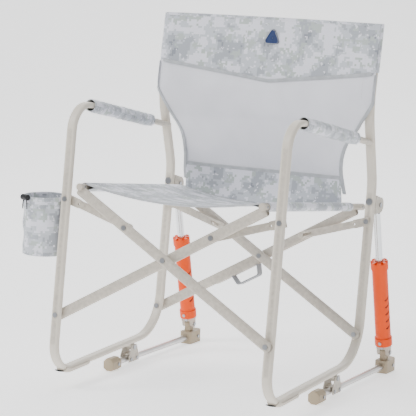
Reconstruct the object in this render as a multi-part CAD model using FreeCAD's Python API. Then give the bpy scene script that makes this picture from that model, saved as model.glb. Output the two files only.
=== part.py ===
import FreeCAD, Part
import math
import os

from FreeCAD import Vector

# Folding camp rocking chair: two side loops of flat-oval tube stand on sprung rocker bars and are
# joined by a front and a rear X, four slotted braces, a seat sling and a back sling.
# Millimetres, +Z up, -Y is the front, x = 0 is the plane midway between the two side loops.
# "Fold frame": the legs lean back by LEAN, so the X tubes, rails and braces are laid out in
# (x, u, v), where u runs rearward square to the legs and v runs up along them.

# Overall layout
HALF_WIDTH = 282.0          # mid-plane to the centre of each side tube
FRONT_LEG_U = -51.0         # front legs, centre line
REAR_LEG_U = 429.0          # rear legs, centre line
LEAN = 6.7                  # degrees that the legs lean back
POST_TOP_Y = 479.0
POST_TOP_Z = 876.0
LUMBAR_Y = 444.0            # the post's two upper lines meet here, furthest forward
LUMBAR_Z = 672.0
POST_FLARE = 4.0            # above the lumbar bend the posts stand this much further out
POST_KINK_Z = 492.0         # above the clevis bolt the post turns forward

# Flat-oval tube of the loops and X tubes
TUBE_WIDTH = 25.0
TUBE_DEPTH = 14.0
TUBE_WALL = 1.0
FRONT_BEND = 62.0
REAR_BEND = 110.0
ARM_BEND = 62.0
POST_BEND = 240.0
KINK_BEND = 150.0
RUNNER_FRONT_Z = 44.0       # runner centre line where it would meet the front leg
RUNNER_SLOPE = 2.4          # degrees up towards the rear

# Arms
ARM_CORNER_Z = 683.0
ARM_SLOPE = -11.6           # degrees, falling to the rear
ARM_PAD_COVER = 3.5         # pad beyond the edges of the arm tube
ARM_PAD_START = 12.0        # after the front bend
ARM_PAD_LENGTH = 288.0
SLEEVE_WALL = 1.6

# X frames, in the fold frame
LOW_PIVOT_V = 178.0
CENTRE_V = 338.0
CENTRE_LAYER = 8.5          # X tube centre line, in front of or behind the leg plane, at the centre
LOW_LAYER = 15.4            # the same at the lower pivot
REAR_A_LOW_LAYER = 23.4     # tube a clears the rear bend of the right loop here
TUBE_END = 13.0             # tube beyond its lower pivot
RIVET_RADIUS = 3.0
RIVET_HEAD = 6.0
HEAD_THICK = 2.2
PIVOT_CLEARANCE = 0.05
FACE_GAP = 0.3              # between faces that slide past each other
PIN_SEAT = 0.3              # a pin's head stands this far off its slanted X tube
CHANNEL_HEEL = 7.5          # channel beyond its leg rivet

# Seat rails
RAIL_X = 240.0
RAIL_V = 484.0
RAIL_RADIUS = 8.5
RAIL_WALL = 1.2
RAIL_FRONT_U = -63.0
RAIL_REAR_U = 475.0
PLUG_LENGTH = 14.0
PLUG_LIP = 3.0

# Braces between the legs and the X tubes
BRACE_LEG_V = 452.0
BRACE_TUBE_REACH = 127.8    # X centre to the slotted pivot, along the X tube
NEAR_LAYER = 12.4           # brace from the leg plane, where its X tube is on the legs' other side
FAR_LAYER = 18.5            # the same where its X tube is between them
BRACE_WIDTH = 18.0
BRACE_THICK = 6.0
CHANNEL_HEIGHT = 21.0
CHANNEL_LENGTH = 44.0
CHANNEL_SHEET = 1.5
KNEE_REACH = 32.0           # leg rivet to the rivet that joins channel and bar
SLOT_TRAVEL = 26.0

# Rocker bars and their hinge
HINGE_Y = 306.0
HINGE_Z = 45.0
HINGE_PIN_RADIUS = 4.0
BAR_RADIUS = 8.2
BAR_WALL = 1.4
BAR_Z = 16.0
BAR_FRONT_Y = 211.0
BAR_REAR_Y = 632.0
BRACKET_SHEET = 2.0
BRACKET_INSIDE = 11.5       # half the gap between the bracket's cheeks
BRACKET_LENGTH = 46.0
LUG_WIDTH = 16.0
LUG_RADIUS = 8.0
CAP_FRONT_Y = 205.0
CAP_LENGTH = 36.0
CAP_WIDTH = 31.0
BLOCK_FRONT_Y = 588.0
BLOCK_REAR_Y = 652.0
BLOCK_WIDTH = 34.0
SCREW_RADIUS = 2.2
SCREW_HEAD = 4.2

# Shock absorbers
SHOCK_FOOT_Y = 606.5        # side pin of the lower joint
SHOCK_FOOT_Z = 52.0
SHOCK_TOP_Y = 519.0         # pin of the clevis on the post
SHOCK_TOP_Z = 436.0
TONGUE_RADIUS = 10.0
TONGUE_WIDTH = 14.0
YOKE_WIDTH = 31.0
YOKE_DEPTH = 24.0
CROSS_PIN_UP = 16.0         # front pin above the side pin, along the shock
BARREL_START = 21.0         # foot of the barrel above the side pin
BARREL_END = 242.0
BARREL_RADIUS = 19.5
BARREL_BORE = 9.4
COLLAR_RADIUS = 22.0
COLLAR_HEIGHT = 20.0
CROWN_HEIGHT = 17.0
CROWN_NOTCHES = 8
BARREL_SLOTS = 5
SLOT_START = 74.0           # lowest slot above the side pin
SLOT_PITCH = 19.0
SLOT_TURN = -6.0            # degrees rearward of the barrel's +X side
SLOT_REACH = 11.2           # half the length of a slot
SLOT_DEPTH = 3.6
ROD_RADIUS = 9.0
ROD_START = 97.0            # lower end of the rod above the side pin, at rest
EYE_RADIUS = 12.0
EYE_WIDTH = 13.0
EYE_BORE = 7.2              # loose on its pin: the bush that fills it is soft
EYE_PIN_RADIUS = 4.0
CLEVIS_BOLT_Z = 447.0
CLEVIS_SHEET = 2.5
CLEVIS_INSIDE = 9.0
CLEVIS_RADIUS = 19.0
WASHER_RADIUS = 8.5

# Foot pads
PAD_WALL = 5.0
PAD_SIDE = 3.0
PAD_REAR_Y = 97.0

# Slings, cup holder, handle
SLING_THICK = 1.6
SLING_GAP = 0.6             # sling to rail or post
SEAT_SAG = 27.0
SEAT_FRONT_U = -44.0
SEAT_REAR_U = 404.0
BAND_BOTTOM_Z = 752.0
BAND_TOP_Z = 878.0
BACK_SAG = 26.0
# Below the band the mesh leaves the posts: (height, half width, y of its side edge)
MESH_EDGE = [(690.0, 286.0, 438.0), (655.0, 276.0, 439.5), (625.0, 259.0, 447.0), (590.0, 233.0, 446.5),
             (560.0, 222.0, 446.5), (528.0, 218.0, 448.0), (494.0, 221.0, 453.0), (460.0, 224.0, 463.0)]
CUP_RADIUS = 53.0
CUP_HEIGHT = 140.0
CUP_WALL = 2.0
CUP_TOP_Z = 456.0
CUP_Y = 14.0
LOCK_RADIUS = 7.0
LOCK_LENGTH = 20.0
LOCK_TURN = 108.0           # degrees round the pouch from its inner side towards the front
HANDLE_START = 14.0         # along the rear X tube from the centre
HANDLE_END = 104.0
CHANNEL_END = 150.0
HANDLE_DROP = 26.0
HANDLE_WIDTH = 22.0
HANDLE_THICK = 3.0

# Worked out from the sizes above
ARM_PAD_RADIUS = TUBE_WIDTH / 2 + ARM_PAD_COVER
SIN_LEAN = math.sin(math.radians(LEAN))
COS_LEAN = math.cos(math.radians(LEAN))
X_LENGTH = math.hypot(HALF_WIDTH, CENTRE_V - LOW_PIVOT_V)
X_ANGLE = math.atan2(CENTRE_V - LOW_PIVOT_V, HALF_WIDTH)
CUP_X = -(HALF_WIDTH + TUBE_WIDTH / 2 + CUP_RADIUS + 1.0)

ACROSS = Vector(1, 0, 0)
SIDES = {"left": -1, "right": 1}
LEG_PLANES = {"front": FRONT_LEG_U, "rear": REAR_LEG_U}
nodes = {}


# ---------------------------------------------------------------- helpers
def add(name, *shapes):
    """Keeps a node: one solid, or several separate solids as a compound."""
    solids = [solid for shape in shapes for solid in shape.Solids]
    nodes[name] = solids[0] if len(solids) == 1 else Part.makeCompound(solids)


def tilted(shape):
    """Takes a shape from the fold frame (x, u, v) to (x, y, z)."""
    placed = shape.copy()
    placed.rotate(Vector(0, 0, 0), Vector(1, 0, 0), -LEAN)
    return placed


def tilted_point(x, u, v):
    return Vector(x, u * COS_LEAN + v * SIN_LEAN, v * COS_LEAN - u * SIN_LEAN)


def rod(start, end, radius):
    """Solid cylinder between two points."""
    return Part.makeCylinder(radius, (end - start).Length, start, end - start)


def ring(start, end, radius, bore):
    return rod(start, end, radius).cut(rod(start, end, bore))


def box(x, y, z):
    """Box from three (low, high) pairs."""
    low = Vector(x[0], y[0], z[0])
    return Part.makeBox(x[1] - x[0], y[1] - y[0], z[1] - z[0], low)


def plate(outline, thickness_vector):
    """Flat plate from a closed outline of points, extruded along a vector."""
    face = Part.Face(Part.makePolygon(outline + [outline[0]]))
    return face.extrude(thickness_vector)


def rounded_path(points, radii):
    """Path of straight runs joined by tangent arcs, one radius for each inner point."""
    edges = []
    last = points[0]
    for before, corner, after, radius in zip(points, points[1:], points[2:], radii):
        incoming = (corner - before).normalize()
        outgoing = (after - corner).normalize()
        turn = incoming.getAngle(outgoing)
        reach = radius * math.tan(turn / 2)
        arc_start = corner - incoming * reach
        arc_end = corner + outgoing * reach
        inward = (outgoing - incoming).normalize()
        middle = corner + inward * (radius / math.cos(turn / 2) - radius)
        edges.append(Part.LineSegment(last, arc_start).toShape())
        edges.append(Part.Arc(arc_start, middle, arc_end).toShape())
        last = arc_end
    edges.append(Part.LineSegment(last, points[-1]).toShape())
    return Part.Wire(edges)


def oval(centre, across, through, width, depth):
    """Closed flat-oval outline: width along `across`, depth along `through`."""
    radius = depth / 2
    reach = (width - depth) / 2
    right = centre + across * reach
    left = centre - across * reach
    return Part.Wire([
        Part.LineSegment(left + through * radius, right + through * radius).toShape(),
        Part.Arc(right + through * radius, right + across * radius, right - through * radius).toShape(),
        Part.LineSegment(right - through * radius, left - through * radius).toShape(),
        Part.Arc(left - through * radius, left - across * radius, left + through * radius).toShape(),
    ])


def sweep(outline, path, across=ACROSS):
    """Solid swept along a path, with its section held square to the fixed direction `across`."""
    shell = Part.BRepOffsetAPI.MakePipeShell(path)
    shell.setBiNormalMode(across)
    shell.add(outline)
    shell.build()
    shell.makeSolid()
    return shell.shape()


def oval_bar(path, width, depth, across=ACROSS):
    """Solid flat-oval bar along a path."""
    edge = path.OrderedEdges[0]
    start = edge.valueAt(edge.FirstParameter)
    along = edge.tangentAt(edge.FirstParameter)
    through = along.cross(across).normalize()
    level = through.cross(along).normalize()
    return sweep(oval(start, level, through, width, depth), path, across)


def straight(start, end):
    return Part.Wire([Part.LineSegment(start, end).toShape()])


def lengthened(start, end, extra):
    """The two points moved apart by `extra` at each end."""
    along = (end - start).normalize()
    return start - along * extra, end + along * extra


# ---------------------------------------------------------------- side loops
def leg_y(u, z):
    """Where a line of constant u stands at height z."""
    return (u + z * SIN_LEAN) / COS_LEAN


def runner_z(y):
    front_y = leg_y(FRONT_LEG_U, RUNNER_FRONT_Z)
    return RUNNER_FRONT_Z + (y - front_y) * math.tan(math.radians(RUNNER_SLOPE))


def arm_z(y):
    corner_y = leg_y(FRONT_LEG_U, ARM_CORNER_Z)
    return ARM_CORNER_Z + (y - corner_y) * math.tan(math.radians(ARM_SLOPE))


def post_corners():
    """Corners of the post's centre line above its kink: outward offset, y, z."""
    return [(POST_FLARE, POST_TOP_Y, POST_TOP_Z), (POST_FLARE, LUMBAR_Y, LUMBAR_Z),
            (0.0, leg_y(REAR_LEG_U, POST_KINK_Z), POST_KINK_Z)]


def post_point(side, z):
    """Point on the post's corner line at one height."""
    top, lumbar, kink = post_corners()
    high, low = (top, lumbar) if z > lumbar[2] else (lumbar, kink)
    share = (z - low[2]) / (high[2] - low[2])
    offset, y = [low[i] + share * (high[i] - low[i]) for i in range(2)]
    return Vector(side * (HALF_WIDTH + offset), y, z)


def rear_corner():
    """Where the rear leg's line meets the runner's line."""
    z = RUNNER_FRONT_Z
    for _ in range(20):
        z = runner_z(leg_y(REAR_LEG_U, z))
    return leg_y(REAR_LEG_U, z), z


def bend_shift(plane, v):
    """How far the rear bend has carried the rear leg's centre line forward at height v."""
    if plane == "front":
        return 0.0
    corner_y, corner_z = rear_corner()
    turn = math.radians(90 - LEAN - RUNNER_SLOPE)
    bend_start = corner_y * SIN_LEAN + corner_z * COS_LEAN + REAR_BEND * math.tan(turn / 2)
    below = max(0.0, bend_start - v)
    return REAR_BEND - math.sqrt(REAR_BEND ** 2 - below ** 2)


def arm_start_y():
    """Where the front arm bend ends and the straight arm begins."""
    turn = math.radians(90 + ARM_SLOPE * -1 - LEAN)
    reach = ARM_BEND * math.tan(turn / 2)
    return leg_y(FRONT_LEG_U, ARM_CORNER_Z) + reach * math.cos(math.radians(ARM_SLOPE))


def loop_path(side):
    """Centre line from the post's top, down and round to the start of the straight arm."""
    rear_y, rear_z = rear_corner()
    arm_y = arm_start_y() + ARM_PAD_START
    points = post_corners() + [
        (0, rear_y, rear_z),
        (0, leg_y(FRONT_LEG_U, RUNNER_FRONT_Z), RUNNER_FRONT_Z),
        (0, leg_y(FRONT_LEG_U, ARM_CORNER_Z), ARM_CORNER_Z),
        (0, arm_y, arm_z(arm_y)),
    ]
    radii = [POST_BEND, KINK_BEND, REAR_BEND, FRONT_BEND, ARM_BEND]
    return rounded_path([Vector(side * (HALF_WIDTH + x), y, z) for x, y, z in points], radii)


def arm_line(side):
    """Straight arm from the loop's front end to the middle of the post."""
    start_y = arm_start_y() + ARM_PAD_START
    end_y = LUMBAR_Y
    for _ in range(20):
        end_y = post_point(side, arm_z(end_y)).y
    x = side * HALF_WIDTH
    return Vector(x, start_y, arm_z(start_y)), Vector(x, end_y, arm_z(end_y))


def leg_hole(side, u, v, radius):
    """Cutter for a rivet hole through a leg, along u."""
    start = tilted_point(side * HALF_WIDTH, u - TUBE_DEPTH, v)
    end = tilted_point(side * HALF_WIDTH, u + TUBE_DEPTH, v)
    return rod(start, end, radius)


def clevis_bolt_v():
    """Height of the clevis bolt in the fold frame."""
    return CLEVIS_BOLT_Z * COS_LEAN + leg_y(REAR_LEG_U, CLEVIS_BOLT_Z) * SIN_LEAN


def hinge_lug(side):
    """Lug welded under the runner, bored for the rocker pin."""
    x = side * HALF_WIDTH
    half = LUG_WIDTH / 2
    top = runner_z(HINGE_Y) - TUBE_DEPTH / 2 + 1.0
    eye = rod(Vector(x - half, HINGE_Y, HINGE_Z), Vector(x + half, HINGE_Y, HINGE_Z), LUG_RADIUS)
    web = box((x - half, x + half), (HINGE_Y - LUG_RADIUS, HINGE_Y + LUG_RADIUS), (HINGE_Z, top))
    bore = rod(Vector(x - 20, HINGE_Y, HINGE_Z), Vector(x + 20, HINGE_Y, HINGE_Z),
               HINGE_PIN_RADIUS + PIVOT_CLEARANCE)
    return eye.fuse(web).cut(bore)


def add_side_tube(name, side):
    path = loop_path(side)
    outer = oval_bar(path, TUBE_WIDTH, TUBE_DEPTH)
    inner = oval_bar(path, TUBE_WIDTH - 2 * TUBE_WALL, TUBE_DEPTH - 2 * TUBE_WALL)
    tube = outer.cut(inner)
    lug = hinge_lug(side).cut(inner).cut(outer)
    tube = tube.fuse(lug)
    bolt_v = clevis_bolt_v()
    holes = [(FRONT_LEG_U, LOW_PIVOT_V), (REAR_LEG_U, LOW_PIVOT_V), (FRONT_LEG_U, BRACE_LEG_V),
             (REAR_LEG_U, BRACE_LEG_V), (REAR_LEG_U, bolt_v)]
    for u, v in holes:
        tube = tube.cut(leg_hole(side, u, v, RIVET_RADIUS))
    add("side_tube_" + name, tube)


def add_arm(name, side):
    start, end = arm_line(side)
    outer = oval_bar(straight(start, end), TUBE_WIDTH, TUBE_DEPTH)
    inner_ends = lengthened(start, end, 1.0)
    inner = oval_bar(straight(*inner_ends), TUBE_WIDTH - 2 * TUBE_WALL, TUBE_DEPTH - 2 * TUBE_WALL)
    post = oval_bar(loop_path(side), TUBE_WIDTH, TUBE_DEPTH)
    add("arm_tube_" + name, outer.cut(inner).cut(post))

    along = (end - start).normalize()
    pad_start = start - along * (ARM_PAD_START - 3.0)
    pad_end = pad_start + along * ARM_PAD_LENGTH
    core = oval_bar(straight(*lengthened(pad_start, pad_end, 1.0)), TUBE_WIDTH, TUBE_DEPTH)
    foam_radius = ARM_PAD_RADIUS - SLEEVE_WALL
    foam_start = pad_start + along * 6.0
    foam = rod(foam_start, pad_end - along * 2.0, foam_radius)
    add("arm_foam_" + name, foam.cut(core))
    sleeve = rod(pad_start, pad_end, ARM_PAD_RADIUS).cut(rod(pad_start, pad_end, foam_radius))
    add("arm_sleeve_" + name, sleeve)


def add_foot_pad(name, side):
    """Glide that cups the underside of the front bend."""
    x = side * HALF_WIDTH
    path = loop_path(side)
    bends = [edge for edge in path.Edges if edge.Curve.TypeId == "Part::GeomCircle"]
    bend = min(bends, key=lambda edge: edge.Curve.Center.z)
    bend_centre = bend.Curve.Center
    rear_y = PAD_REAR_Y
    bend_end = bend.valueAt(bend.FirstParameter)
    bend_start = bend.valueAt(bend.LastParameter)
    if bend_end.z > bend_start.z:
        bend_end, bend_start = bend_start, bend_end
    rear = Vector(x, rear_y, runner_z(rear_y))
    lip_angle = math.radians(244)
    lip = bend_centre + Vector(0, math.cos(lip_angle), math.sin(lip_angle)) * FRONT_BEND
    low_angle = math.radians(258)
    low = bend_centre + Vector(0, math.cos(low_angle), math.sin(low_angle)) * FRONT_BEND
    pad_path = Part.Wire([Part.Arc(lip, low, bend_end).toShape(),
                          Part.LineSegment(bend_end, rear).toShape()])
    width = TUBE_WIDTH + 2 * PAD_SIDE
    outer = oval_bar(pad_path, width, TUBE_DEPTH + 2 * PAD_WALL)
    tube = oval_bar(path, TUBE_WIDTH, TUBE_DEPTH)
    inside = Part.makeCylinder(FRONT_BEND, 2 * width, bend_centre - ACROSS * width, ACROSS)
    slope = math.tan(math.radians(RUNNER_SLOPE))
    above = plate([Vector(x - width, bend_end.y, bend_end.z),
                   Vector(x - width, rear_y + 20, bend_end.z + (rear_y + 20 - bend_end.y) * slope),
                   Vector(x - width, rear_y + 20, bend_end.z + 60),
                   Vector(x - width, bend_end.y, bend_end.z + 60)], ACROSS * 2 * width)
    add("foot_pad_" + name, outer.cut(inside).cut(above).cut(tube))


# ---------------------------------------------------------------- X frames
def low_layer(tube, plane):
    return REAR_A_LOW_LAYER if (tube, plane) == ("a", "rear") else LOW_LAYER


def layer(tube, plane, along):
    """Offset of an X tube's centre line from the leg plane; along is positive below the centre."""
    offset = CENTRE_LAYER + (low_layer(tube, plane) - CENTRE_LAYER) * along / X_LENGTH
    return -offset if tube == "a" else offset


def x_point(tube, plane, along, lift=0.0):
    """Point on the centre line of tube a (down to the right) or b (down to the left)."""
    direction = 1 if tube == "a" else -1
    x = direction * (along * math.cos(X_ANGLE) + lift * math.sin(X_ANGLE))
    v = CENTRE_V - along * math.sin(X_ANGLE) + lift * math.cos(X_ANGLE)
    return Vector(x, LEG_PLANES[plane] + layer(tube, plane, along), v)


def through_u(point, front, rear, radius):
    """Cylinder along u, from `front` to `rear` relative to the point."""
    return rod(Vector(point.x, point.y + front, point.z), Vector(point.x, point.y + rear, point.z), radius)


def rivet(point, front, rear, front_head=RIVET_HEAD, rear_head=RIVET_HEAD):
    """Rivet along u with a head beyond each end."""
    shank = through_u(point, front, rear, RIVET_RADIUS)
    head = through_u(point, front - HEAD_THICK, front, front_head)
    tail = through_u(point, rear, rear + HEAD_THICK, rear_head)
    return shank.fuse(head).fuse(tail).removeSplitter()


def rail_line(side):
    return Vector(side * RAIL_X, RAIL_FRONT_U, RAIL_V), Vector(side * RAIL_X, RAIL_REAR_U, RAIL_V)


def add_x_tube(tube, plane):
    side = -1 if tube == "a" else 1
    rail_reach = RAIL_X / math.cos(X_ANGLE)
    top = x_point(tube, plane, -rail_reach - 6.0)
    foot = x_point(tube, plane, X_LENGTH + TUBE_END)
    run = (foot - top).normalize()
    level = Vector(run.x, 0, run.z).cross(Vector(0, 1, 0)).normalize()
    outer = oval_bar(straight(top, foot), TUBE_WIDTH, TUBE_DEPTH, level)
    inner_ends = lengthened(top, foot, 1.0)
    inner = oval_bar(straight(*inner_ends), TUBE_WIDTH - 2 * TUBE_WALL, TUBE_DEPTH - 2 * TUBE_WALL, level)
    low_pivot = x_point(tube, plane, X_LENGTH)
    end_round = through_u(low_pivot, -20, 20, TUBE_END)
    end_zone = plate_across(tube, plane, X_LENGTH, X_LENGTH + 2 * TUBE_END)
    rail_start, rail_end = rail_line(side)
    rail_outer = side * (RAIL_X + RAIL_RADIUS)
    beyond = box(sorted((rail_outer, rail_outer + side * 40)), (RAIL_FRONT_U - 40, RAIL_REAR_U + 40),
                 (RAIL_V - 60, RAIL_V + 60))
    body = outer.cut(inner).cut(end_zone.cut(end_round)).cut(rod(rail_start, rail_end, RAIL_RADIUS))
    body = body.cut(beyond)
    own_shank = RIVET_RADIUS
    loose_shank = RIVET_RADIUS + PIVOT_CLEARANCE
    centre = x_point(tube, plane, 0)
    body = body.cut(through_u(centre, -20, 20, loose_shank if tube == "a" else own_shank))
    body = body.cut(through_u(low_pivot, -20, 20, loose_shank))
    body = body.cut(through_u(x_point(tube, plane, -BRACE_TUBE_REACH), -20, 20, own_shank))
    solids = sorted(body.Solids, key=lambda solid: solid.Volume)
    add(plane + "_tube_" + tube, tilted(solids[-1]))


def plate_across(tube, plane, start, end):
    """Slab square to an X tube, between two distances along it."""
    corners = [x_point(tube, plane, start, -40), x_point(tube, plane, end, -40),
               x_point(tube, plane, end, 40), x_point(tube, plane, start, 40)]
    flat = [Vector(corner.x, LEG_PLANES[plane] - 40, corner.z) for corner in corners]
    return plate(flat, Vector(0, 80, 0))


def add_seat_rail(tube):
    side = -1 if tube == "a" else 1
    start, end = rail_line(side)
    rail = ring(start, end, RAIL_RADIUS, RAIL_RADIUS - RAIL_WALL)
    add("seat_rail_" + tube, tilted(rail))
    plugs = []
    for mouth, inward in ((start, 1), (end, -1)):
        inner = mouth + Vector(0, inward * PLUG_LENGTH, 0)
        lip = mouth - Vector(0, inward * PLUG_LIP, 0)
        stem = rod(mouth, inner, RAIL_RADIUS - RAIL_WALL)
        cap = rod(lip, mouth, RAIL_RADIUS)
        edge = cap.Edges[0] if abs(cap.Edges[0].CenterOfMass.y - lip.y) < 0.1 else cap.Edges[-1]
        plugs.append(tilted(stem.fuse(cap.makeFillet(1.4, [edge]))))
    add("rail_plugs_" + tube, *plugs)


def add_x_rivets():
    """Centre rivets and their washers ride on b; each tube carries its two brace pins."""
    a_pins = []
    b_pins = []
    for plane in LEG_PLANES:
        middle = Vector(0, LEG_PLANES[plane], CENTRE_V)
        reach = CENTRE_LAYER + TUBE_DEPTH / 2 + FACE_GAP
        b_pins.append(rivet(middle, -reach, reach))
        gap = CENTRE_LAYER - TUBE_DEPTH / 2 - 2 * FACE_GAP
        washer = through_u(middle, -gap, gap, WASHER_RADIUS)
        b_pins[-1] = b_pins[-1].fuse(washer).removeSplitter()
        for tube, pins in (("a", a_pins), ("b", b_pins)):
            point = x_point(tube, plane, -BRACE_TUBE_REACH)
            half = TUBE_DEPTH / 2
            outward = -1 if plane == "front" else 1
            seat = half + PIN_SEAT
            faces = sorted((outward * seat, outward * (seat + HEAD_THICK)))
            shank = through_u(point, -seat, seat, RIVET_RADIUS)
            pins.append(shank.fuse(through_u(point, faces[0], faces[1], RIVET_HEAD)).removeSplitter())
    add("x_rivets_a", *[tilted(pin) for pin in a_pins])
    add("x_rivets_b", *[tilted(pin) for pin in b_pins])


# ---------------------------------------------------------------- braces
def brace_frame(side, plane):
    """Leg rivet, unit vectors towards the X tube and square to it, brace offset in u, length."""
    leg = Vector(side * HALF_WIDTH, LEG_PLANES[plane], BRACE_LEG_V)
    tube = "a" if side < 0 else "b"
    target = x_point(tube, plane, -BRACE_TUBE_REACH)
    target.y = leg.y
    along = (target - leg).normalize()
    up = Vector(-along.z, 0, along.x)
    if up.z < 0:
        up = up * -1
    return leg, along, up, brace_offset(side, plane), (target - leg).Length


def brace_offset(side, plane):
    """Front braces run behind the front legs, rear braces in front of the rear legs."""
    inward = 1 if plane == "front" else -1
    near = (side < 0) == (plane == "front")
    return inward * (NEAR_LAYER if near else FAR_LAYER)


def add_brace(name, side, plane):
    leg, along, up, offset, length = brace_frame(side, plane)
    half = BRACE_THICK / 2
    label = plane + "_" + name
    centre = leg + Vector(0, offset, 0)

    start = centre + along * (KNEE_REACH - 10.0)
    end = centre + along * length
    width = BRACE_WIDTH / 2
    bar = plate([start + up * width, end + up * width, end - up * width, start - up * width],
                Vector(0, half, 0))
    bar = bar.fuse(bar.mirror(centre, Vector(0, 1, 0))).removeSplitter()
    bar = bar.fuse(through_u(end, -half, half, width)).removeSplitter()
    slot_end = end - along * SLOT_TRAVEL
    slot_half = RIVET_RADIUS + 0.4
    slot = plate([slot_end + up * slot_half, end + up * slot_half, end - up * slot_half,
                  slot_end - up * slot_half], Vector(0, 20, 0))
    slot.translate(Vector(0, -10, 0))
    slot = slot.fuse(through_u(slot_end, -10, 10, slot_half)).fuse(through_u(end, -10, 10, slot_half))
    knee = centre + along * KNEE_REACH
    bar = bar.cut(slot).cut(through_u(knee, -10, 10, RIVET_RADIUS))
    outward = 1 if offset > 0 else -1
    head_faces = sorted((outward * half, outward * (half + HEAD_THICK)))
    bar = bar.fuse(through_u(end, head_faces[0], head_faces[1], RIVET_HEAD))
    if abs(offset) == NEAR_LAYER:
        tube_offset = layer("a" if side < 0 else "b", plane, -BRACE_TUBE_REACH)
        tube_face = tube_offset + outward * TUBE_DEPTH / 2
        boss_end = tube_face + outward * FACE_GAP - offset
        boss_faces = sorted((boss_end, -outward * half))
        bar = bar.fuse(through_u(end, boss_faces[0], boss_faces[1], RIVET_HEAD))
    add("brace_" + label, tilted(bar.removeSplitter()))

    web_front = -half - CHANNEL_SHEET
    high = CHANNEL_HEIGHT / 2
    nose = centre + along * (CHANNEL_LENGTH + 8.0)
    shoulder = centre + along * CHANNEL_LENGTH * 0.72
    heel = centre - along * CHANNEL_HEEL
    web = plate([heel + up * high, shoulder + up * high, nose, shoulder - up * high, heel - up * high],
                Vector(0, CHANNEL_SHEET, 0))
    web.translate(Vector(0, web_front, 0))
    flange = plate([heel + up * high, shoulder + up * high, shoulder + up * (high - CHANNEL_SHEET),
                    heel + up * (high - CHANNEL_SHEET)], Vector(0, BRACE_THICK + CHANNEL_SHEET, 0))
    flange.translate(Vector(0, web_front, 0))
    channel = web.fuse(flange).removeSplitter()
    channel = channel.cut(through_u(centre, -20, 20, RIVET_RADIUS + PIVOT_CLEARANCE))
    channel = channel.cut(through_u(knee, -20, 20, RIVET_RADIUS))
    add("brace_channel_" + label, tilted(channel))


# ---------------------------------------------------------------- rivets and bolts of each side
def add_side_rivets(name, side):
    pins = []
    tube = "a" if side > 0 else "b"
    leg_half = TUBE_DEPTH / 2
    for plane, leg_u in LEG_PLANES.items():
        low = Vector(side * HALF_WIDTH, leg_u, LOW_PIVOT_V)
        outside = low_layer(tube, plane) + TUBE_DEPTH / 2 + FACE_GAP
        if tube == "a":
            rear_seat = leg_half - bend_shift(plane, LOW_PIVOT_V + RIVET_HEAD) + FACE_GAP / 2
            pins.append(rivet(low, -outside, rear_seat))
        else:
            front_seat = leg_half + bend_shift(plane, LOW_PIVOT_V - RIVET_HEAD) + FACE_GAP / 2
            pins.append(rivet(low, -front_seat, outside))
        brace = Vector(side * HALF_WIDTH, leg_u, BRACE_LEG_V)
        offset = brace_offset(side, plane)
        if plane == "front":
            web_rear = offset - BRACE_THICK / 2
            pins.append(rivet(brace, -leg_half, web_rear + FACE_GAP, RIVET_HEAD, RIVET_HEAD - 1.0))
        else:
            web_front = offset - BRACE_THICK / 2 - CHANNEL_SHEET
            pins.append(rivet(brace, web_front - FACE_GAP, leg_half))
    bolt_point = Vector(side * HALF_WIDTH, REAR_LEG_U, clevis_bolt_v())
    pins.append(rivet(bolt_point, -leg_half, leg_half + CLEVIS_SHEET, WASHER_RADIUS))
    pins = [tilted(pin) for pin in pins]

    x = side * HALF_WIDTH
    reach = CLEVIS_INSIDE + CLEVIS_SHEET
    pins.append(side_pin(x, SHOCK_TOP_Y, SHOCK_TOP_Z, EYE_PIN_RADIUS, reach, RIVET_HEAD))
    add("side_rivets_" + name, *pins)


def side_pin(x, y, z, radius, reach, head):
    """Pin along X with a head at each end."""
    left = Vector(x - reach, y, z)
    right = Vector(x + reach, y, z)
    pin = rod(left, right, radius)
    for end, outward in ((left, -1), (right, 1)):
        pin = pin.fuse(rod(end, end + Vector(outward * HEAD_THICK, 0, 0), head))
    return pin.removeSplitter()


def add_clevis(name, side):
    """Bracket behind the post: a back plate and two round-ended cheeks."""
    x = side * HALF_WIDTH
    low_z = SHOCK_TOP_Z - CLEVIS_RADIUS
    high_z = CLEVIS_BOLT_Z + 15.0
    low_y = leg_y(REAR_LEG_U + TUBE_DEPTH / 2, low_z)
    high_y = leg_y(REAR_LEG_U + TUBE_DEPTH / 2, high_z)
    wide = CLEVIS_INSIDE + CLEVIS_SHEET
    shape = plate([Vector(x - wide, low_y, low_z), Vector(x - wide, high_y, high_z),
                  Vector(x - wide, high_y + CLEVIS_SHEET, high_z),
                  Vector(x - wide, low_y + CLEVIS_SHEET, low_z)], ACROSS * 2 * wide)
    pin = Vector(x, SHOCK_TOP_Y, SHOCK_TOP_Z)
    for outward in (-1, 1):
        inner_x = x + outward * CLEVIS_INSIDE
        disc = rod(Vector(inner_x, pin.y, pin.z), Vector(inner_x + outward * CLEVIS_SHEET, pin.y, pin.z),
                   CLEVIS_RADIUS)
        web = plate([Vector(inner_x, low_y, low_z), Vector(inner_x, pin.y, low_z),
                     Vector(inner_x, pin.y, pin.z + CLEVIS_RADIUS),
                     Vector(inner_x, high_y + CLEVIS_SHEET, high_z), Vector(inner_x, high_y, high_z)],
                    ACROSS * outward * CLEVIS_SHEET)
        front_of_post = box((x - 30, x + 30), (pin.y - 60, low_y), (low_z - 20, high_z + 20))
        shape = shape.fuse(disc.cut(front_of_post)).fuse(web)
    shape = shape.removeSplitter()
    shape = shape.cut(rod(pin - ACROSS * 30, pin + ACROSS * 30, EYE_PIN_RADIUS))
    post = oval_bar(loop_path(side), TUBE_WIDTH, TUBE_DEPTH)
    bolt_hole = leg_hole(side, REAR_LEG_U, clevis_bolt_v(), RIVET_RADIUS)
    add("shock_clevis_" + name, shape.cut(post).cut(bolt_hole))


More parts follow.
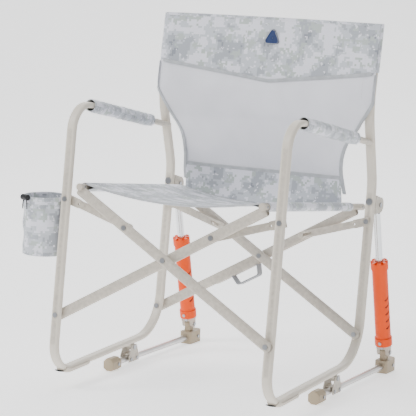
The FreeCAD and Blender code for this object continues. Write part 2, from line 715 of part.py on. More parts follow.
# ---------------------------------------------------------------- rocker bars
def add_rocker(name, side):
    x = side * HALF_WIDTH
    front = Vector(x, BAR_FRONT_Y, BAR_Z)
    rear = Vector(x, BAR_REAR_Y, BAR_Z)
    screw_ys = [HINGE_Y - 15.0, HINGE_Y + 13.0]
    bar_screws = screw_ys + [CAP_FRONT_Y + CAP_LENGTH - 12.0, BLOCK_REAR_Y - 26.0]
    bar = ring(front, rear, BAR_RADIUS, BAR_RADIUS - BAR_WALL)
    for y in bar_screws:
        bar = bar.cut(rod(Vector(x - 30, y, BAR_Z), Vector(x + 30, y, BAR_Z), SCREW_RADIUS))
    add("rocker_bar_" + name, bar)

    cap = rounded_block(x, CAP_WIDTH, CAP_FRONT_Y, CAP_FRONT_Y + CAP_LENGTH, 2 * BAR_Z, 9.0)
    cap = cap.cut(rod(front, front + Vector(0, CAP_LENGTH * 2, 0), BAR_RADIUS))
    cap = cap.cut(rod(Vector(x - 30, bar_screws[2], BAR_Z), Vector(x + 30, bar_screws[2], BAR_Z),
                      SCREW_RADIUS))
    add("rocker_cap_" + name, cap)
    add("hinge_bracket_" + name, hinge_bracket(x, screw_ys))
    add("rocker_block_" + name, rocker_block(x, bar_screws[3]))

    screws = [side_pin(x, y, BAR_Z, SCREW_RADIUS, BRACKET_INSIDE + BRACKET_SHEET, SCREW_HEAD)
              for y in screw_ys]
    screws.append(side_pin(x, bar_screws[2], BAR_Z, SCREW_RADIUS, CAP_WIDTH / 2, SCREW_HEAD))
    screws.append(side_pin(x, bar_screws[3], BAR_Z, SCREW_RADIUS, BLOCK_WIDTH / 2, SCREW_HEAD))
    screws.append(side_pin(x, HINGE_Y, HINGE_Z, HINGE_PIN_RADIUS, BRACKET_INSIDE + BRACKET_SHEET,
                           RIVET_HEAD))
    screws.append(side_pin(x, SHOCK_FOOT_Y, SHOCK_FOOT_Z, RIVET_RADIUS, TONGUE_WIDTH / 2 + 9.0,
                           RIVET_HEAD - 1.0))
    add("rocker_screws_" + name, *screws)


def rounded_block(x, width, front_y, rear_y, height, corner):
    """Block standing on the floor with eight sides seen from the front."""
    half = width / 2
    outline = [Vector(x - half, front_y, corner * 0.7), Vector(x - half + corner, front_y, 0),
               Vector(x + half - corner, front_y, 0), Vector(x + half, front_y, corner * 0.7),
               Vector(x + half, front_y, height - corner), Vector(x + half - corner, front_y, height),
               Vector(x - half + corner, front_y, height), Vector(x - half, front_y, height - corner)]
    block = plate(outline, Vector(0, rear_y - front_y, 0))
    front_edges = [edge for edge in block.Edges if abs(edge.CenterOfMass.y - front_y) < 0.1]
    return block.makeChamfer(2.0, front_edges)


def hinge_bracket(x, screw_ys):
    """Two cheeks bridged above the bar; the rocker pin passes through their tops."""
    bridge_z = BAR_Z + BAR_RADIUS + 0.2
    half_length = BRACKET_LENGTH / 2
    middle_y = sum(screw_ys) / len(screw_ys)
    shape = box((x - BRACKET_INSIDE, x + BRACKET_INSIDE), (middle_y - 12.0, middle_y + 12.0),
                (bridge_z, bridge_z + BRACKET_SHEET))
    top_z = HINGE_Z + RIVET_HEAD + 0.5
    for outward in (-1, 1):
        inner = x + outward * BRACKET_INSIDE
        outline = [Vector(inner, middle_y - half_length, BAR_Z - 7.0),
                   Vector(inner, middle_y + half_length, BAR_Z - 7.0),
                   Vector(inner, middle_y + half_length, BAR_Z + 8.0),
                   Vector(inner, HINGE_Y + 10.0, top_z), Vector(inner, HINGE_Y - 10.0, top_z),
                   Vector(inner, middle_y - half_length, BAR_Z + 8.0)]
        cheek = plate(outline, ACROSS * outward * BRACKET_SHEET)
        shape = shape.fuse(cheek)
    shape = shape.removeSplitter()
    shape = shape.cut(rod(Vector(x - 30, HINGE_Y, HINGE_Z), Vector(x + 30, HINGE_Y, HINGE_Z),
                          HINGE_PIN_RADIUS))
    for y in screw_ys:
        shape = shape.cut(rod(Vector(x - 30, y, BAR_Z), Vector(x + 30, y, BAR_Z), SCREW_RADIUS))
    return shape


def rocker_block(x, screw_y):
    """Rear clamp on the bar, with the tongue that carries the shock's lower joint."""
    half = BLOCK_WIDTH / 2
    base = box((x - half, x + half), (BLOCK_FRONT_Y, BLOCK_REAR_Y - half), (0, 2 * BAR_Z))
    tail = Part.makeCylinder(half, 2 * BAR_Z, Vector(x, BLOCK_REAR_Y - half, 0), Vector(0, 0, 1))
    base = base.fuse(tail).removeSplitter()
    low_edges = [edge for edge in base.Edges
                 if edge.BoundBox.ZLength > 1.0 and abs(edge.CenterOfMass.y - BLOCK_FRONT_Y) < 0.1]
    base = base.makeFillet(6.0, low_edges)
    neck = TONGUE_WIDTH / 2
    tongue = box((x - neck, x + neck), (SHOCK_FOOT_Y - TONGUE_RADIUS, SHOCK_FOOT_Y + TONGUE_RADIUS),
                 (2 * BAR_Z - 2, SHOCK_FOOT_Z))
    eye = rod(Vector(x - neck, SHOCK_FOOT_Y, SHOCK_FOOT_Z), Vector(x + neck, SHOCK_FOOT_Y, SHOCK_FOOT_Z),
              TONGUE_RADIUS)
    block = base.fuse(tongue).fuse(eye).removeSplitter()
    block = block.cut(rod(Vector(x, BLOCK_FRONT_Y - 1, BAR_Z), Vector(x, BAR_REAR_Y, BAR_Z), BAR_RADIUS))
    block = block.cut(rod(Vector(x - 30, screw_y, BAR_Z), Vector(x + 30, screw_y, BAR_Z), SCREW_RADIUS))
    return block.cut(rod(Vector(x - 30, SHOCK_FOOT_Y, SHOCK_FOOT_Z),
                         Vector(x + 30, SHOCK_FOOT_Y, SHOCK_FOOT_Z), RIVET_RADIUS))


# ---------------------------------------------------------------- shock absorbers
def shock_placed(shape, x):
    """Takes a shape drawn along +Z from the side pin to its lean on the chair."""
    angle = math.degrees(math.atan2(SHOCK_FOOT_Y - SHOCK_TOP_Y, SHOCK_TOP_Z - SHOCK_FOOT_Z))
    placed = shape.copy()
    placed.rotate(Vector(0, 0, 0), ACROSS, angle)
    placed.translate(Vector(x, SHOCK_FOOT_Y, SHOCK_FOOT_Z))
    return placed


def add_shock(name, side):
    x = side * HALF_WIDTH
    up = Vector(0, 0, 1)
    origin = Vector(0, 0, 0)

    half_depth = YOKE_DEPTH / 2
    neck = TONGUE_WIDTH / 2 + FACE_GAP
    half = YOKE_WIDTH / 2
    crown_z = TONGUE_RADIUS + 1.0
    yoke = box((-half, half), (-half_depth, half_depth), (crown_z, BARREL_START))
    for outward in (-1, 1):
        cheek = box(sorted((outward * neck, outward * half)), (-9.0, 9.0), (0, crown_z))
        yoke = yoke.fuse(cheek).fuse(rod(Vector(outward * neck, 0, 0), Vector(outward * half, 0, 0), 9.0))
    side_bore = rod(Vector(-30, 0, 0), Vector(30, 0, 0), RIVET_RADIUS + PIVOT_CLEARANCE)
    yoke = yoke.removeSplitter().cut(side_bore)
    pin_line = (Vector(0, -half_depth, CROSS_PIN_UP), Vector(0, half_depth, CROSS_PIN_UP))
    yoke = yoke.cut(rod(*lengthened(*pin_line, 5.0), RIVET_RADIUS))
    add("shock_yoke_" + name, shock_placed(yoke, x))

    barrel = rod(up * BARREL_START, up * BARREL_END, BARREL_RADIUS)
    barrel = barrel.cut(rod(up * (BARREL_START + 12.0), up * (BARREL_END + 1), BARREL_BORE))
    for index in range(BARREL_SLOTS):
        slot = box((BARREL_RADIUS - SLOT_DEPTH, BARREL_RADIUS + 3.0), (-SLOT_REACH, SLOT_REACH), (-2.0, 2.0))
        slot.rotate(origin, ACROSS, 28.0)
        slot.translate(up * (SLOT_START + index * SLOT_PITCH))
        slot.rotate(origin, up, SLOT_TURN)
        barrel = barrel.cut(slot)
    foot_screw = rod(Vector(0, -COLLAR_RADIUS - 2, BARREL_START + 10), Vector(0, -12, BARREL_START + 10),
                     SCREW_RADIUS)
    collar = ring(up * BARREL_START, up * (BARREL_START + COLLAR_HEIGHT), COLLAR_RADIUS, BARREL_RADIUS)
    crown = ring(up * (BARREL_END - CROWN_HEIGHT), up * (BARREL_END + 4), COLLAR_RADIUS, BARREL_RADIUS)
    lid = ring(up * BARREL_END, up * (BARREL_END + 4), COLLAR_RADIUS, BARREL_BORE + 1.0)
    crown = crown.fuse(lid).removeSplitter()
    for index in range(CROWN_NOTCHES):
        notch = box((14.0, 30.0), (-3.2, 3.2), (BARREL_END, BARREL_END + 8))
        notch.rotate(origin, up, index * 360.0 / CROWN_NOTCHES)
        crown = crown.cut(notch)
    barrel = barrel.cut(foot_screw)
    collar = collar.cut(foot_screw)
    add("shock_barrel_" + name, shock_placed(barrel, x))
    add("shock_collars_" + name, shock_placed(collar, x), shock_placed(crown, x))

    seat = Vector(0, -COLLAR_RADIUS, BARREL_START + 10)
    screw = rod(seat, Vector(0, -12, BARREL_START + 10), SCREW_RADIUS)
    head = rod(seat - Vector(0, 1.8, 0), seat, SCREW_HEAD)
    front, rear = pin_line
    cross_pin = rod(front, rear, RIVET_RADIUS)
    cross_pin = cross_pin.fuse(rod(front - Vector(0, HEAD_THICK, 0), front, RIVET_HEAD - 1.0))
    cross_pin = cross_pin.fuse(rod(rear, rear + Vector(0, HEAD_THICK, 0), RIVET_HEAD - 1.0))
    head_side = head.cut(rod(up * BARREL_START, up * (BARREL_START + COLLAR_HEIGHT), COLLAR_RADIUS))
    add("shock_screws_" + name, shock_placed(screw.fuse(head_side).removeSplitter(), x),
        shock_placed(cross_pin.removeSplitter(), x))

    length = math.hypot(SHOCK_TOP_Y - SHOCK_FOOT_Y, SHOCK_TOP_Z - SHOCK_FOOT_Z)
    stem = rod(up * ROD_START, up * (length - EYE_BORE - 1.0), ROD_RADIUS)
    half_eye = EYE_WIDTH / 2
    top = up * length
    eye = rod(top - ACROSS * half_eye, top + ACROSS * half_eye, EYE_RADIUS)
    bore = rod(top - ACROSS * 30, top + ACROSS * 30, EYE_BORE)
    flats = box((-half_eye, half_eye), (-30, 30), (length - 22.0, length + 30))
    round_stem = stem.cut(box((-30, 30), (-30, 30), (length - 22.0, length + 30)))
    stem = round_stem.fuse(stem.common(flats))
    add("shock_rod_" + name, shock_placed(stem.fuse(eye).cut(bore).removeSplitter(), x))


# ---------------------------------------------------------------- handle, slings, cup holder
def add_handle():
    """Grey webbing handle under a short channel that stiffens the rear X tube b."""
    half = TUBE_WIDTH / 2
    depth = TUBE_DEPTH / 2
    sheet = CHANNEL_SHEET
    ends = (HANDLE_START, CHANNEL_END)
    outline_low = []
    low = -half - sheet
    for along, lift in ((ends[0], low), (ends[1], low), (ends[1], -2.0), (ends[0], -2.0)):
        outline_low.append(x_point("b", "rear", along, lift))
    front = plate(outline_low, Vector(0, sheet, 0))
    front.translate(Vector(0, -depth - sheet, 0))
    rear = plate(outline_low, Vector(0, sheet, 0))
    rear.translate(Vector(0, depth, 0))
    floor_line = []
    for along, lift in ((ends[0], low), (ends[1], low), (ends[1], -half), (ends[0], -half)):
        floor_line.append(x_point("b", "rear", along, lift))
    floor = plate(floor_line, Vector(0, 2 * depth + 2 * sheet, 0))
    floor.translate(Vector(0, -depth - sheet, 0))
    channel = front.fuse(rear).fuse(floor).removeSplitter()
    add("handle_channel", tilted(channel))

    top = -half - sheet
    start = x_point("b", "rear", HANDLE_START + 6.0, top)
    end = x_point("b", "rear", HANDLE_END - 6.0, top)
    low_start = x_point("b", "rear", HANDLE_START + 14.0, top - HANDLE_DROP)
    low_end = x_point("b", "rear", HANDLE_END - 12.0, top - HANDLE_DROP)
    path = rounded_path([start, low_start, low_end, end], [7.0, 7.0])
    along = (low_start - start).normalize()
    across = Vector(0, 1, 0)
    width = across * (HANDLE_WIDTH / 2)
    thick = along.cross(across).normalize() * (HANDLE_THICK / 2)
    outline = Part.makePolygon([start + width + thick, start + width - thick, start - width - thick,
                                start - width + thick, start + width + thick])
    strap = sweep(outline, path, across)
    lid = [x_point("b", "rear", ends[0] - 20, top), x_point("b", "rear", ends[1] + 20, top),
           x_point("b", "rear", ends[1] + 20, 0), x_point("b", "rear", ends[0] - 20, 0)]
    above = plate([Vector(corner.x, LEG_PLANES["rear"] - 40, corner.z) for corner in lid],
                  across * 80)
    add("carry_handle", tilted(strap.cut(above)))


def arc_strip(left, right, sag, thickness):
    """Closed outline in the (x, v) plane that sags between two points."""
    middle = (left + right) * 0.5 - Vector(0, 0, sag)
    lower = Vector(0, 0, -thickness)
    top = Part.Arc(left, middle, right).toShape()
    bottom = Part.Arc(right + lower, middle + lower, left + lower).toShape()
    right_end = Part.LineSegment(right, right + lower).toShape()
    left_end = Part.LineSegment(left + lower, left).toShape()
    return Part.Wire([top, right_end, bottom, left_end])


def add_seat_sling():
    inner = RAIL_RADIUS + SLING_GAP
    outer = inner + SLING_THICK
    left = Vector(-RAIL_X + outer * 0.3, SEAT_FRONT_U, RAIL_V + outer * 0.9)
    right = Vector(RAIL_X - outer * 0.3, SEAT_FRONT_U, RAIL_V + outer * 0.9)
    run = Vector(0, SEAT_REAR_U - SEAT_FRONT_U, 0)
    sling = Part.Face(arc_strip(left, right, SEAT_SAG, SLING_THICK)).extrude(run)
    for side in SIDES.values():
        start = Vector(side * RAIL_X, SEAT_FRONT_U, RAIL_V)
        sling = sling.fuse(rod(start, start + run, outer))
    for side in SIDES.values():
        start = Vector(side * RAIL_X, SEAT_FRONT_U - 1, RAIL_V)
        sling = sling.cut(rod(start, start + run + Vector(0, 2, 0), inner))
    for plane in LEG_PLANES:
        for tube, side in (("a", -1), ("b", 1)):
            point = x_point(tube, plane, -RAIL_X / math.cos(X_ANGLE))
            reach = sorted((side * (RAIL_X - 26), side * (RAIL_X + 14)))
            notch = box(reach, (point.y - 9.0, point.y + 9.0), (RAIL_V - 30, RAIL_V + 0.5 * outer))
            sling = sling.cut(notch)
    solids = sorted(sling.Solids, key=lambda solid: solid.Volume)
    add("seat_sling", tilted(solids[-1]))


def back_section(z, half_x, y):
    """Outline of the sling at one height: edges at +-half_x, sagging rearward between them."""
    left = Vector(-half_x, y, z)
    middle = Vector(0, y + BACK_SAG, z)
    right = Vector(half_x, y, z)
    behind = Vector(0, SLING_THICK, 0)
    return Part.Wire([
        Part.Arc(left, middle, right).toShape(),
        Part.LineSegment(right, right + behind).toShape(),
        Part.Arc(right + behind, middle + behind, left + behind).toShape(),
        Part.LineSegment(left + behind, left).toShape(),
    ])


def add_back_slings():
    """Band with a sleeve round each post, and the mesh panel that hangs from it."""
    clear = TUBE_DEPTH / 2 + SLING_GAP + SLING_THICK
    sections = []
    for z in (BAND_TOP_Z, BAND_BOTTOM_Z + 0.5):
        post = post_point(1, z)
        sections.append((z, post.x, post.y - clear))
    band = Part.makeLoft([back_section(*section) for section in sections], True, True)
    inner = (TUBE_WIDTH + 2 * SLING_GAP, TUBE_DEPTH + 2 * SLING_GAP)
    outer = [size + 2 * SLING_THICK for size in inner]
    low = BAND_BOTTOM_Z + 0.5
    for side in SIDES.values():
        sleeve = oval_bar(straight(post_point(side, low), post_point(side, BAND_TOP_Z)), *outer)
        band = band.fuse(sleeve)
    for side in SIDES.values():
        hollow_line = (post_point(side, low - 10), post_point(side, BAND_TOP_Z + 10))
        band = band.cut(oval_bar(straight(*hollow_line), *inner))
    add("back_band", max(band.Solids, key=lambda solid: solid.Volume))

    post = post_point(1, BAND_BOTTOM_Z)
    edge = [(BAND_BOTTOM_Z, post.x, post.y - clear)] + MESH_EDGE
    wires = [back_section(*section) for section in edge]
    panels = [Part.makeLoft(list(pair), True, True) for pair in zip(wires, wires[1:])]
    mesh = panels[0].multiFuse(panels[1:]).removeSplitter()
    for side in SIDES.values():
        mesh = mesh.cut(oval_bar(loop_path(side), *inner))
    add("back_mesh", max(mesh.Solids, key=lambda solid: solid.Volume))


def add_cup_holder():
    """Pouch on the outer face of the left front leg, with a tab stitched round the leg side."""
    base = Vector(CUP_X, CUP_Y, CUP_TOP_Z - CUP_HEIGHT)
    top = Vector(CUP_X, CUP_Y, CUP_TOP_Z)
    floor = Vector(0, 0, CUP_WALL)
    outside = rod(base, top, CUP_RADIUS)
    pouch = outside.cut(rod(base + floor, top + floor, CUP_RADIUS - CUP_WALL))
    leg_face = -HALF_WIDTH - TUBE_WIDTH / 2 - FACE_GAP
    tab = box((CUP_X + CUP_RADIUS / 2, leg_face), (CUP_Y - 14, CUP_Y + 14), (base.z + 10, top.z - 20))
    add("cup_holder", pouch.fuse(tab.cut(outside)).removeSplitter())

    angle = math.radians(LOCK_TURN)
    outward = Vector(math.cos(angle), -math.sin(angle), 0)
    tangent = Vector(outward.y, -outward.x, 0) * (LOCK_LENGTH / 2)
    centre = top + outward * (CUP_RADIUS + LOCK_RADIUS + FACE_GAP)
    add("cord_lock", rod(centre - tangent, centre + tangent, LOCK_RADIUS))


# ---------------------------------------------------------------- assembly
for side_name, side_sign in SIDES.items():
    add_side_tube(side_name, side_sign)
    add_arm(side_name, side_sign)
    add_foot_pad(side_name, side_sign)
    add_side_rivets(side_name, side_sign)
    add_clevis(side_name, side_sign)
    add_rocker(side_name, side_sign)
    add_shock(side_name, side_sign)
    for plane_name in LEG_PLANES:
        add_brace(side_name, side_sign, plane_name)
for tube_name in ("a", "b"):
    for plane_name in LEG_PLANES:
        add_x_tube(tube_name, plane_name)
    add_seat_rail(tube_name)
add_x_rivets()
add_handle()
add_seat_sling()
add_back_slings()
add_cup_holder()

# The origin goes below the middle of the whole chair, on the floor.
left_x = CUP_X - CUP_RADIUS
right_x = HALF_WIDTH + COLLAR_RADIUS
front_u = FRONT_LEG_U - LOW_LAYER - TUBE_DEPTH / 2 - FACE_GAP - HEAD_THICK
front_y = tilted_point(0, front_u, LOW_PIVOT_V - RIVET_HEAD).y
row_origin = Vector((left_x + right_x) / 2, (front_y + BLOCK_REAR_Y) / 2, 0)
os.makedirs("parts", exist_ok=True)
for name, shape in nodes.items():
    shape.translate(row_origin * -1)
    shape.exportStep("parts/" + name + ".step")
    print(name, len(shape.Solids), round(shape.Volume), shape.isValid())
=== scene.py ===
import math

import bmesh
import bpy
from mathutils import Matrix, Vector


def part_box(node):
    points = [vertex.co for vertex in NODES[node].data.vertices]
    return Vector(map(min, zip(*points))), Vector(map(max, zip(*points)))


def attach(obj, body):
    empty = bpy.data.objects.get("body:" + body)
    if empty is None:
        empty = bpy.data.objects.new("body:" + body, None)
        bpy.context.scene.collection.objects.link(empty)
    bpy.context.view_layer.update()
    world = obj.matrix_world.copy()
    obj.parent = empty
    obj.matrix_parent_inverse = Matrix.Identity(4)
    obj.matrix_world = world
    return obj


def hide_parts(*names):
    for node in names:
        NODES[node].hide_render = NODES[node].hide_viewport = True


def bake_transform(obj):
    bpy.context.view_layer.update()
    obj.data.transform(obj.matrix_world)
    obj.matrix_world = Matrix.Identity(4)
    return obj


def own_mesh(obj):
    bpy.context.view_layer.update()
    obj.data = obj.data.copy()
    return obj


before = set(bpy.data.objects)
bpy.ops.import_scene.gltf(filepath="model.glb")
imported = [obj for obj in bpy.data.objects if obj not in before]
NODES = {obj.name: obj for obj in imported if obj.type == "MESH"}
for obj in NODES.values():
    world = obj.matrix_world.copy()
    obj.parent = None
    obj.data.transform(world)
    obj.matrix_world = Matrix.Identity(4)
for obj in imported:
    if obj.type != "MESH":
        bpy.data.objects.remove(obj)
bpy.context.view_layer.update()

# ---------------------------------------------------------------- places taken from the frame
MM = 0.001


def corners(node):
    low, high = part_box(node)
    return Vector(low), Vector(high)


ARM_LOW, ARM_HIGH = corners("arm_sleeve_left")
RIGHT_LOW, RIGHT_HIGH = corners("arm_sleeve_right")
MID_X = ((ARM_LOW.x + ARM_HIGH.x) / 2 + (RIGHT_LOW.x + RIGHT_HIGH.x) / 2) / 2
HALF_WIDTH = ((RIGHT_LOW.x + RIGHT_HIGH.x) - (ARM_LOW.x + ARM_HIGH.x)) / 4
LEAN_DEGREES = 6.7                      # the legs' lean; rails lie square to them
LEAN = math.radians(LEAN_DEGREES)

RAIL_LOW, RAIL_HIGH = corners("seat_rail_a")
CUP_LOW, CUP_HIGH = corners("cup_holder")

RAIL_RADIUS = (RAIL_HIGH.x - RAIL_LOW.x) / 2
RAIL_REACH = abs((RAIL_HIGH.x - RAIL_LOW.x) / -2 + RAIL_HIGH.x - MID_X)     # from the middle plane
SIDES = {"left": -1, "right": 1}

# the front end of a rail, in millimetres in the fold frame, places the chair's datum in the row frame
RAIL_V = 484.0
RAIL_END_U = -63.0
RAIL_TUBE_RADIUS = 8.5
SHIFT_Y = RAIL_LOW.y - (RAIL_END_U * math.cos(LEAN) + (RAIL_V - RAIL_TUBE_RADIUS) * math.sin(LEAN)) * MM


def row_y(y):
    """Depth in millimetres behind the chair's datum, to the row frame."""
    return y * MM + SHIFT_Y


# ---------------------------------------------------------------- node helpers
def new_material(name):
    material = bpy.data.materials.new(name)
    material.use_nodes = True
    tree = material.node_tree
    shader = tree.nodes["Principled BSDF"]
    return material, tree, shader


def set_inputs(made, **inputs):
    """Sets inputs of a shader node, given by socket name with _ for a space."""
    for key, value in inputs.items():
        made.inputs[key.replace("_", " ")].default_value = value


def node(tree, kind, **inputs):
    made = tree.nodes.new(kind)
    set_inputs(made, **inputs)
    return made


def link(tree, source, target):
    tree.links.new(source, target)


def math_node(tree, operation, first, second=None, third=None):
    made = tree.nodes.new("ShaderNodeMath")
    made.operation = operation
    for index, value in enumerate((first, second, third)):
        if value is None:
            continue
        if isinstance(value, (int, float)):
            made.inputs[index].default_value = value
        else:
            link(tree, value, made.inputs[index])
    return made.outputs[0]


def object_place(tree, scale=(1, 1, 1)):
    place = tree.nodes.new("ShaderNodeTexCoord")
    mapping = node(tree, "ShaderNodeMapping", Scale=scale)
    link(tree, place.outputs["Object"], mapping.inputs["Vector"])
    return mapping.outputs["Vector"]


def cloth_place(tree):
    """Cloth coordinates in metres, from the piece's own UV map."""
    place = tree.nodes.new("ShaderNodeUVMap")
    place.uv_map = "cloth"
    return place.outputs["UV"]


def ramp(tree, source, stops, kind="LINEAR"):
    made = tree.nodes.new("ShaderNodeValToRGB")
    made.color_ramp.interpolation = kind
    elements = made.color_ramp.elements
    while len(elements) < len(stops):
        elements.new(0.5)
    for element, (position, colour) in zip(elements, stops):
        element.position = position
        element.color = (*colour, 1.0)
    link(tree, source, made.inputs["Fac"])
    return made.outputs["Color"]


def noise(tree, place, scale, detail=2.0, roughness=0.5):
    made = node(tree, "ShaderNodeTexNoise", Scale=scale, Detail=detail, Roughness=roughness)
    link(tree, place, made.inputs["Vector"])
    return made.outputs["Fac"]


def bump(tree, shader, height, strength, distance):
    made = node(tree, "ShaderNodeBump", Strength=strength, Distance=distance)
    link(tree, height, made.inputs["Height"])
    link(tree, made.outputs["Normal"], shader.inputs["Normal"])


def mix(tree, factor, first, second, blend_type="MIX"):
    """Mixes two colours; each is a socket or an RGB triple."""
    made = tree.nodes.new("ShaderNodeMix")
    made.data_type = "RGBA"
    made.blend_type = blend_type
    for socket, value in ((made.inputs[0], factor), (made.inputs[6], first), (made.inputs[7], second)):
        if isinstance(value, (int, float)):
            socket.default_value = value
        elif isinstance(value, tuple):
            socket.default_value = (*value, 1.0)
        else:
            link(tree, value, socket)
    return made.outputs[2]


# ---------------------------------------------------------------- materials of the hard parts
def hard_material(name, colour, roughness, grain=900.0, grain_depth=0.00003, metallic=0.0, spread=0.05,
                  wear=None, gloss=0.3):
    """Painted, moulded or plated surface: fine grain, faint colour drift and rubbed edges."""
    material, tree, shader = new_material(name)
    place = object_place(tree)
    drift = noise(tree, place, 9.0, 3.0)
    dark = tuple(c * (1 - spread) for c in colour)
    light = tuple(min(1.0, c * (1 + spread)) for c in colour)
    base = ramp(tree, drift, [(0.3, dark), (0.7, light)])
    if wear:
        geometry = tree.nodes.new("ShaderNodeNewGeometry")
        edge = ramp(tree, geometry.outputs["Pointiness"], [(0.53, (0, 0, 0)), (0.60, (1, 1, 1))])
        scuff = math_node(tree, "MULTIPLY", edge, noise(tree, place, 120.0, 4.0))
        base = mix(tree, scuff, base, wear)
    link(tree, base, shader.inputs["Base Color"])
    smear = noise(tree, place, 35.0, 4.0)
    rough = math_node(tree, "MULTIPLY_ADD", smear, 0.16, roughness - 0.08)
    link(tree, rough, shader.inputs["Roughness"])
    set_inputs(shader, Metallic=metallic, Specular_IOR_Level=gloss)
    bump(tree, shader, noise(tree, place, grain, 2.0), 0.35, grain_depth)
    return material


def chrome_material():
    """Plated rod with fine marks round it."""
    material, tree, shader = new_material("chrome")
    marks = noise(tree, object_place(tree, (1, 1, 40)), 60.0, 3.0)
    base = ramp(tree, marks, [(0.3, (0.62, 0.64, 0.66)), (0.7, (0.86, 0.87, 0.88))])
    link(tree, base, shader.inputs["Base Color"])
    link(tree, math_node(tree, "MULTIPLY_ADD", marks, 0.14, 0.06), shader.inputs["Roughness"])
    set_inputs(shader, Metallic=1.0)
    bump(tree, shader, marks, 0.2, 0.00002)
    return material


def foam_material():
    material, tree, shader = new_material("black foam")
    place = object_place(tree)
    cells = node(tree, "ShaderNodeTexVoronoi", Scale=1100.0)
    link(tree, place, cells.inputs["Vector"])
    base = ramp(tree, cells.outputs["Distance"],
                [(0.1, (0.008, 0.008, 0.009)), (0.7, (0.035, 0.035, 0.037))])
    link(tree, base, shader.inputs["Base Color"])
    set_inputs(shader, Roughness=0.92)
    bump(tree, shader, cells.outputs["Distance"], 0.6, 0.0004)
    return material


# ---------------------------------------------------------------- materials of the cloth
def weave_height(tree, place, pitch):
    """Plain weave: threads over and under each other, one crossing for each pitch."""
    split = tree.nodes.new("ShaderNodeSeparateXYZ")
    link(tree, place, split.inputs["Vector"])
    turns = math.pi / pitch
    warp = math_node(tree, "SINE", math_node(tree, "MULTIPLY", split.outputs["X"], turns))
    weft = math_node(tree, "SINE", math_node(tree, "MULTIPLY", split.outputs["Y"], turns))
    return math_node(tree, "MULTIPLY", warp, weft)


def snapped(tree, place, size):
    """Cloth coordinates stepped to squares of one size."""
    made = tree.nodes.new("ShaderNodeVectorMath")
    made.operation = "SNAP"
    link(tree, place, made.inputs[0])
    made.inputs[1].default_value = (size, size, size)
    return made.outputs[0]


def camo_material():
    """Printed digital camouflage on a plain weave: white ground, grey and grey-green squares."""
    material, tree, shader = new_material("camouflage cloth")
    place = cloth_place(tree)
    squares = snapped(tree, place, 0.0052)
    fine = snapped(tree, place, 0.0026)
    patches = noise(tree, squares, 17.0, 3.0, 0.62)
    greens = noise(tree, squares, 26.0, 3.0, 0.7)
    sparks = noise(tree, fine, 95.0, 1.0)
    grey = ramp(tree, patches, [(0.0, (0.86, 0.86, 0.94)), (0.46, (0.60, 0.63, 0.68)),
                                (0.55, (0.42, 0.445, 0.49)), (0.66, (0.27, 0.29, 0.33))], "CONSTANT")
    green_share = ramp(tree, greens, [(0.0, (0, 0, 0)), (0.575, (1, 1, 1))], "CONSTANT")
    base = mix(tree, green_share, grey, (0.50, 0.555, 0.535))
    light_share = ramp(tree, sparks, [(0.0, (0, 0, 0)), (0.66, (1, 1, 1))], "CONSTANT")
    base = mix(tree, light_share, base, (0.88, 0.88, 0.94))
    threads = weave_height(tree, place, 0.0009)
    shade = math_node(tree, "MULTIPLY_ADD", threads, 0.05, 0.95)
    shaded = tree.nodes.new("ShaderNodeVectorMath")
    shaded.operation = "SCALE"
    link(tree, base, shaded.inputs[0])
    link(tree, shade, shaded.inputs["Scale"])
    link(tree, shaded.outputs[0], shader.inputs["Base Color"])
    set_inputs(shader, Roughness=0.78, Sheen_Weight=0.25, Sheen_Roughness=0.5)
    wrinkle = math_node(tree, "MULTIPLY_ADD", noise(tree, object_place(tree), 38.0, 3.0), 5.0, threads)
    bump(tree, shader, wrinkle, 0.35, 0.0003)
    return material


def mesh_material():
    """Open white net: square-set round holes 2.4 mm apart."""
    material, tree, shader = new_material("white net")
    place = cloth_place(tree)
    split = tree.nodes.new("ShaderNodeSeparateXYZ")
    link(tree, place, split.inputs["Vector"])
    turns = 2 * math.pi / 0.0024
    across = math_node(tree, "COSINE", math_node(tree, "MULTIPLY", split.outputs["X"], turns))
    along = math_node(tree, "COSINE", math_node(tree, "MULTIPLY", split.outputs["Y"], turns))
    height = math_node(tree, "ADD", across, along)
    solid = ramp(tree, math_node(tree, "MULTIPLY_ADD", height, 0.25, 0.5),
                 [(0.20, (0.55, 0.55, 0.55)), (0.34, (1, 1, 1))])
    base = ramp(tree, noise(tree, object_place(tree), 14.0, 3.0),
                [(0.3, (0.86, 0.86, 0.92)), (0.7, (0.93, 0.93, 0.99))])
    link(tree, base, shader.inputs["Base Color"])
    link(tree, solid, shader.inputs["Alpha"])
    set_inputs(shader, Roughness=0.6, Sheen_Weight=0.2)
    bump(tree, shader, height, 0.4, 0.0002)
    return material


def tape_material(name, colour, pitch=0.0014, depth=0.0003):
    """Ribbed woven tape or webbing."""
    material, tree, shader = new_material(name)
    place = cloth_place(tree)
    ribs = weave_height(tree, place, pitch)
    tone = noise(tree, object_place(tree), 60.0, 3.0)
    dark = tuple(c * 0.84 for c in colour)
    light = tuple(min(1.0, c * 1.08) for c in colour)
    base = ramp(tree, tone, [(0.3, dark), (0.7, light)])
    rib_shade = ramp(tree, ribs, [(0.0, (0.86, 0.86, 0.86)), (0.6, (1, 1, 1))])
    link(tree, mix(tree, 1.0, base, rib_shade, "MULTIPLY"), shader.inputs["Base Color"])
    set_inputs(shader, Roughness=0.8, Sheen_Weight=0.3)
    bump(tree, shader, ribs, 0.6, depth)
    return material


def floor_material():
    material, tree, shader = new_material("pale floor")
    tone = noise(tree, object_place(tree), 3.0, 3.0)
    link(tree, ramp(tree, tone, [(0.3, (0.90, 0.90, 0.90)), (0.7, (0.92, 0.92, 0.92))]),
         shader.inputs["Base Color"])
    set_inputs(shader, Roughness=0.9, Emission_Color=(1.0, 1.0, 1.0, 1.0), Emission_Strength=0.95)
    return material


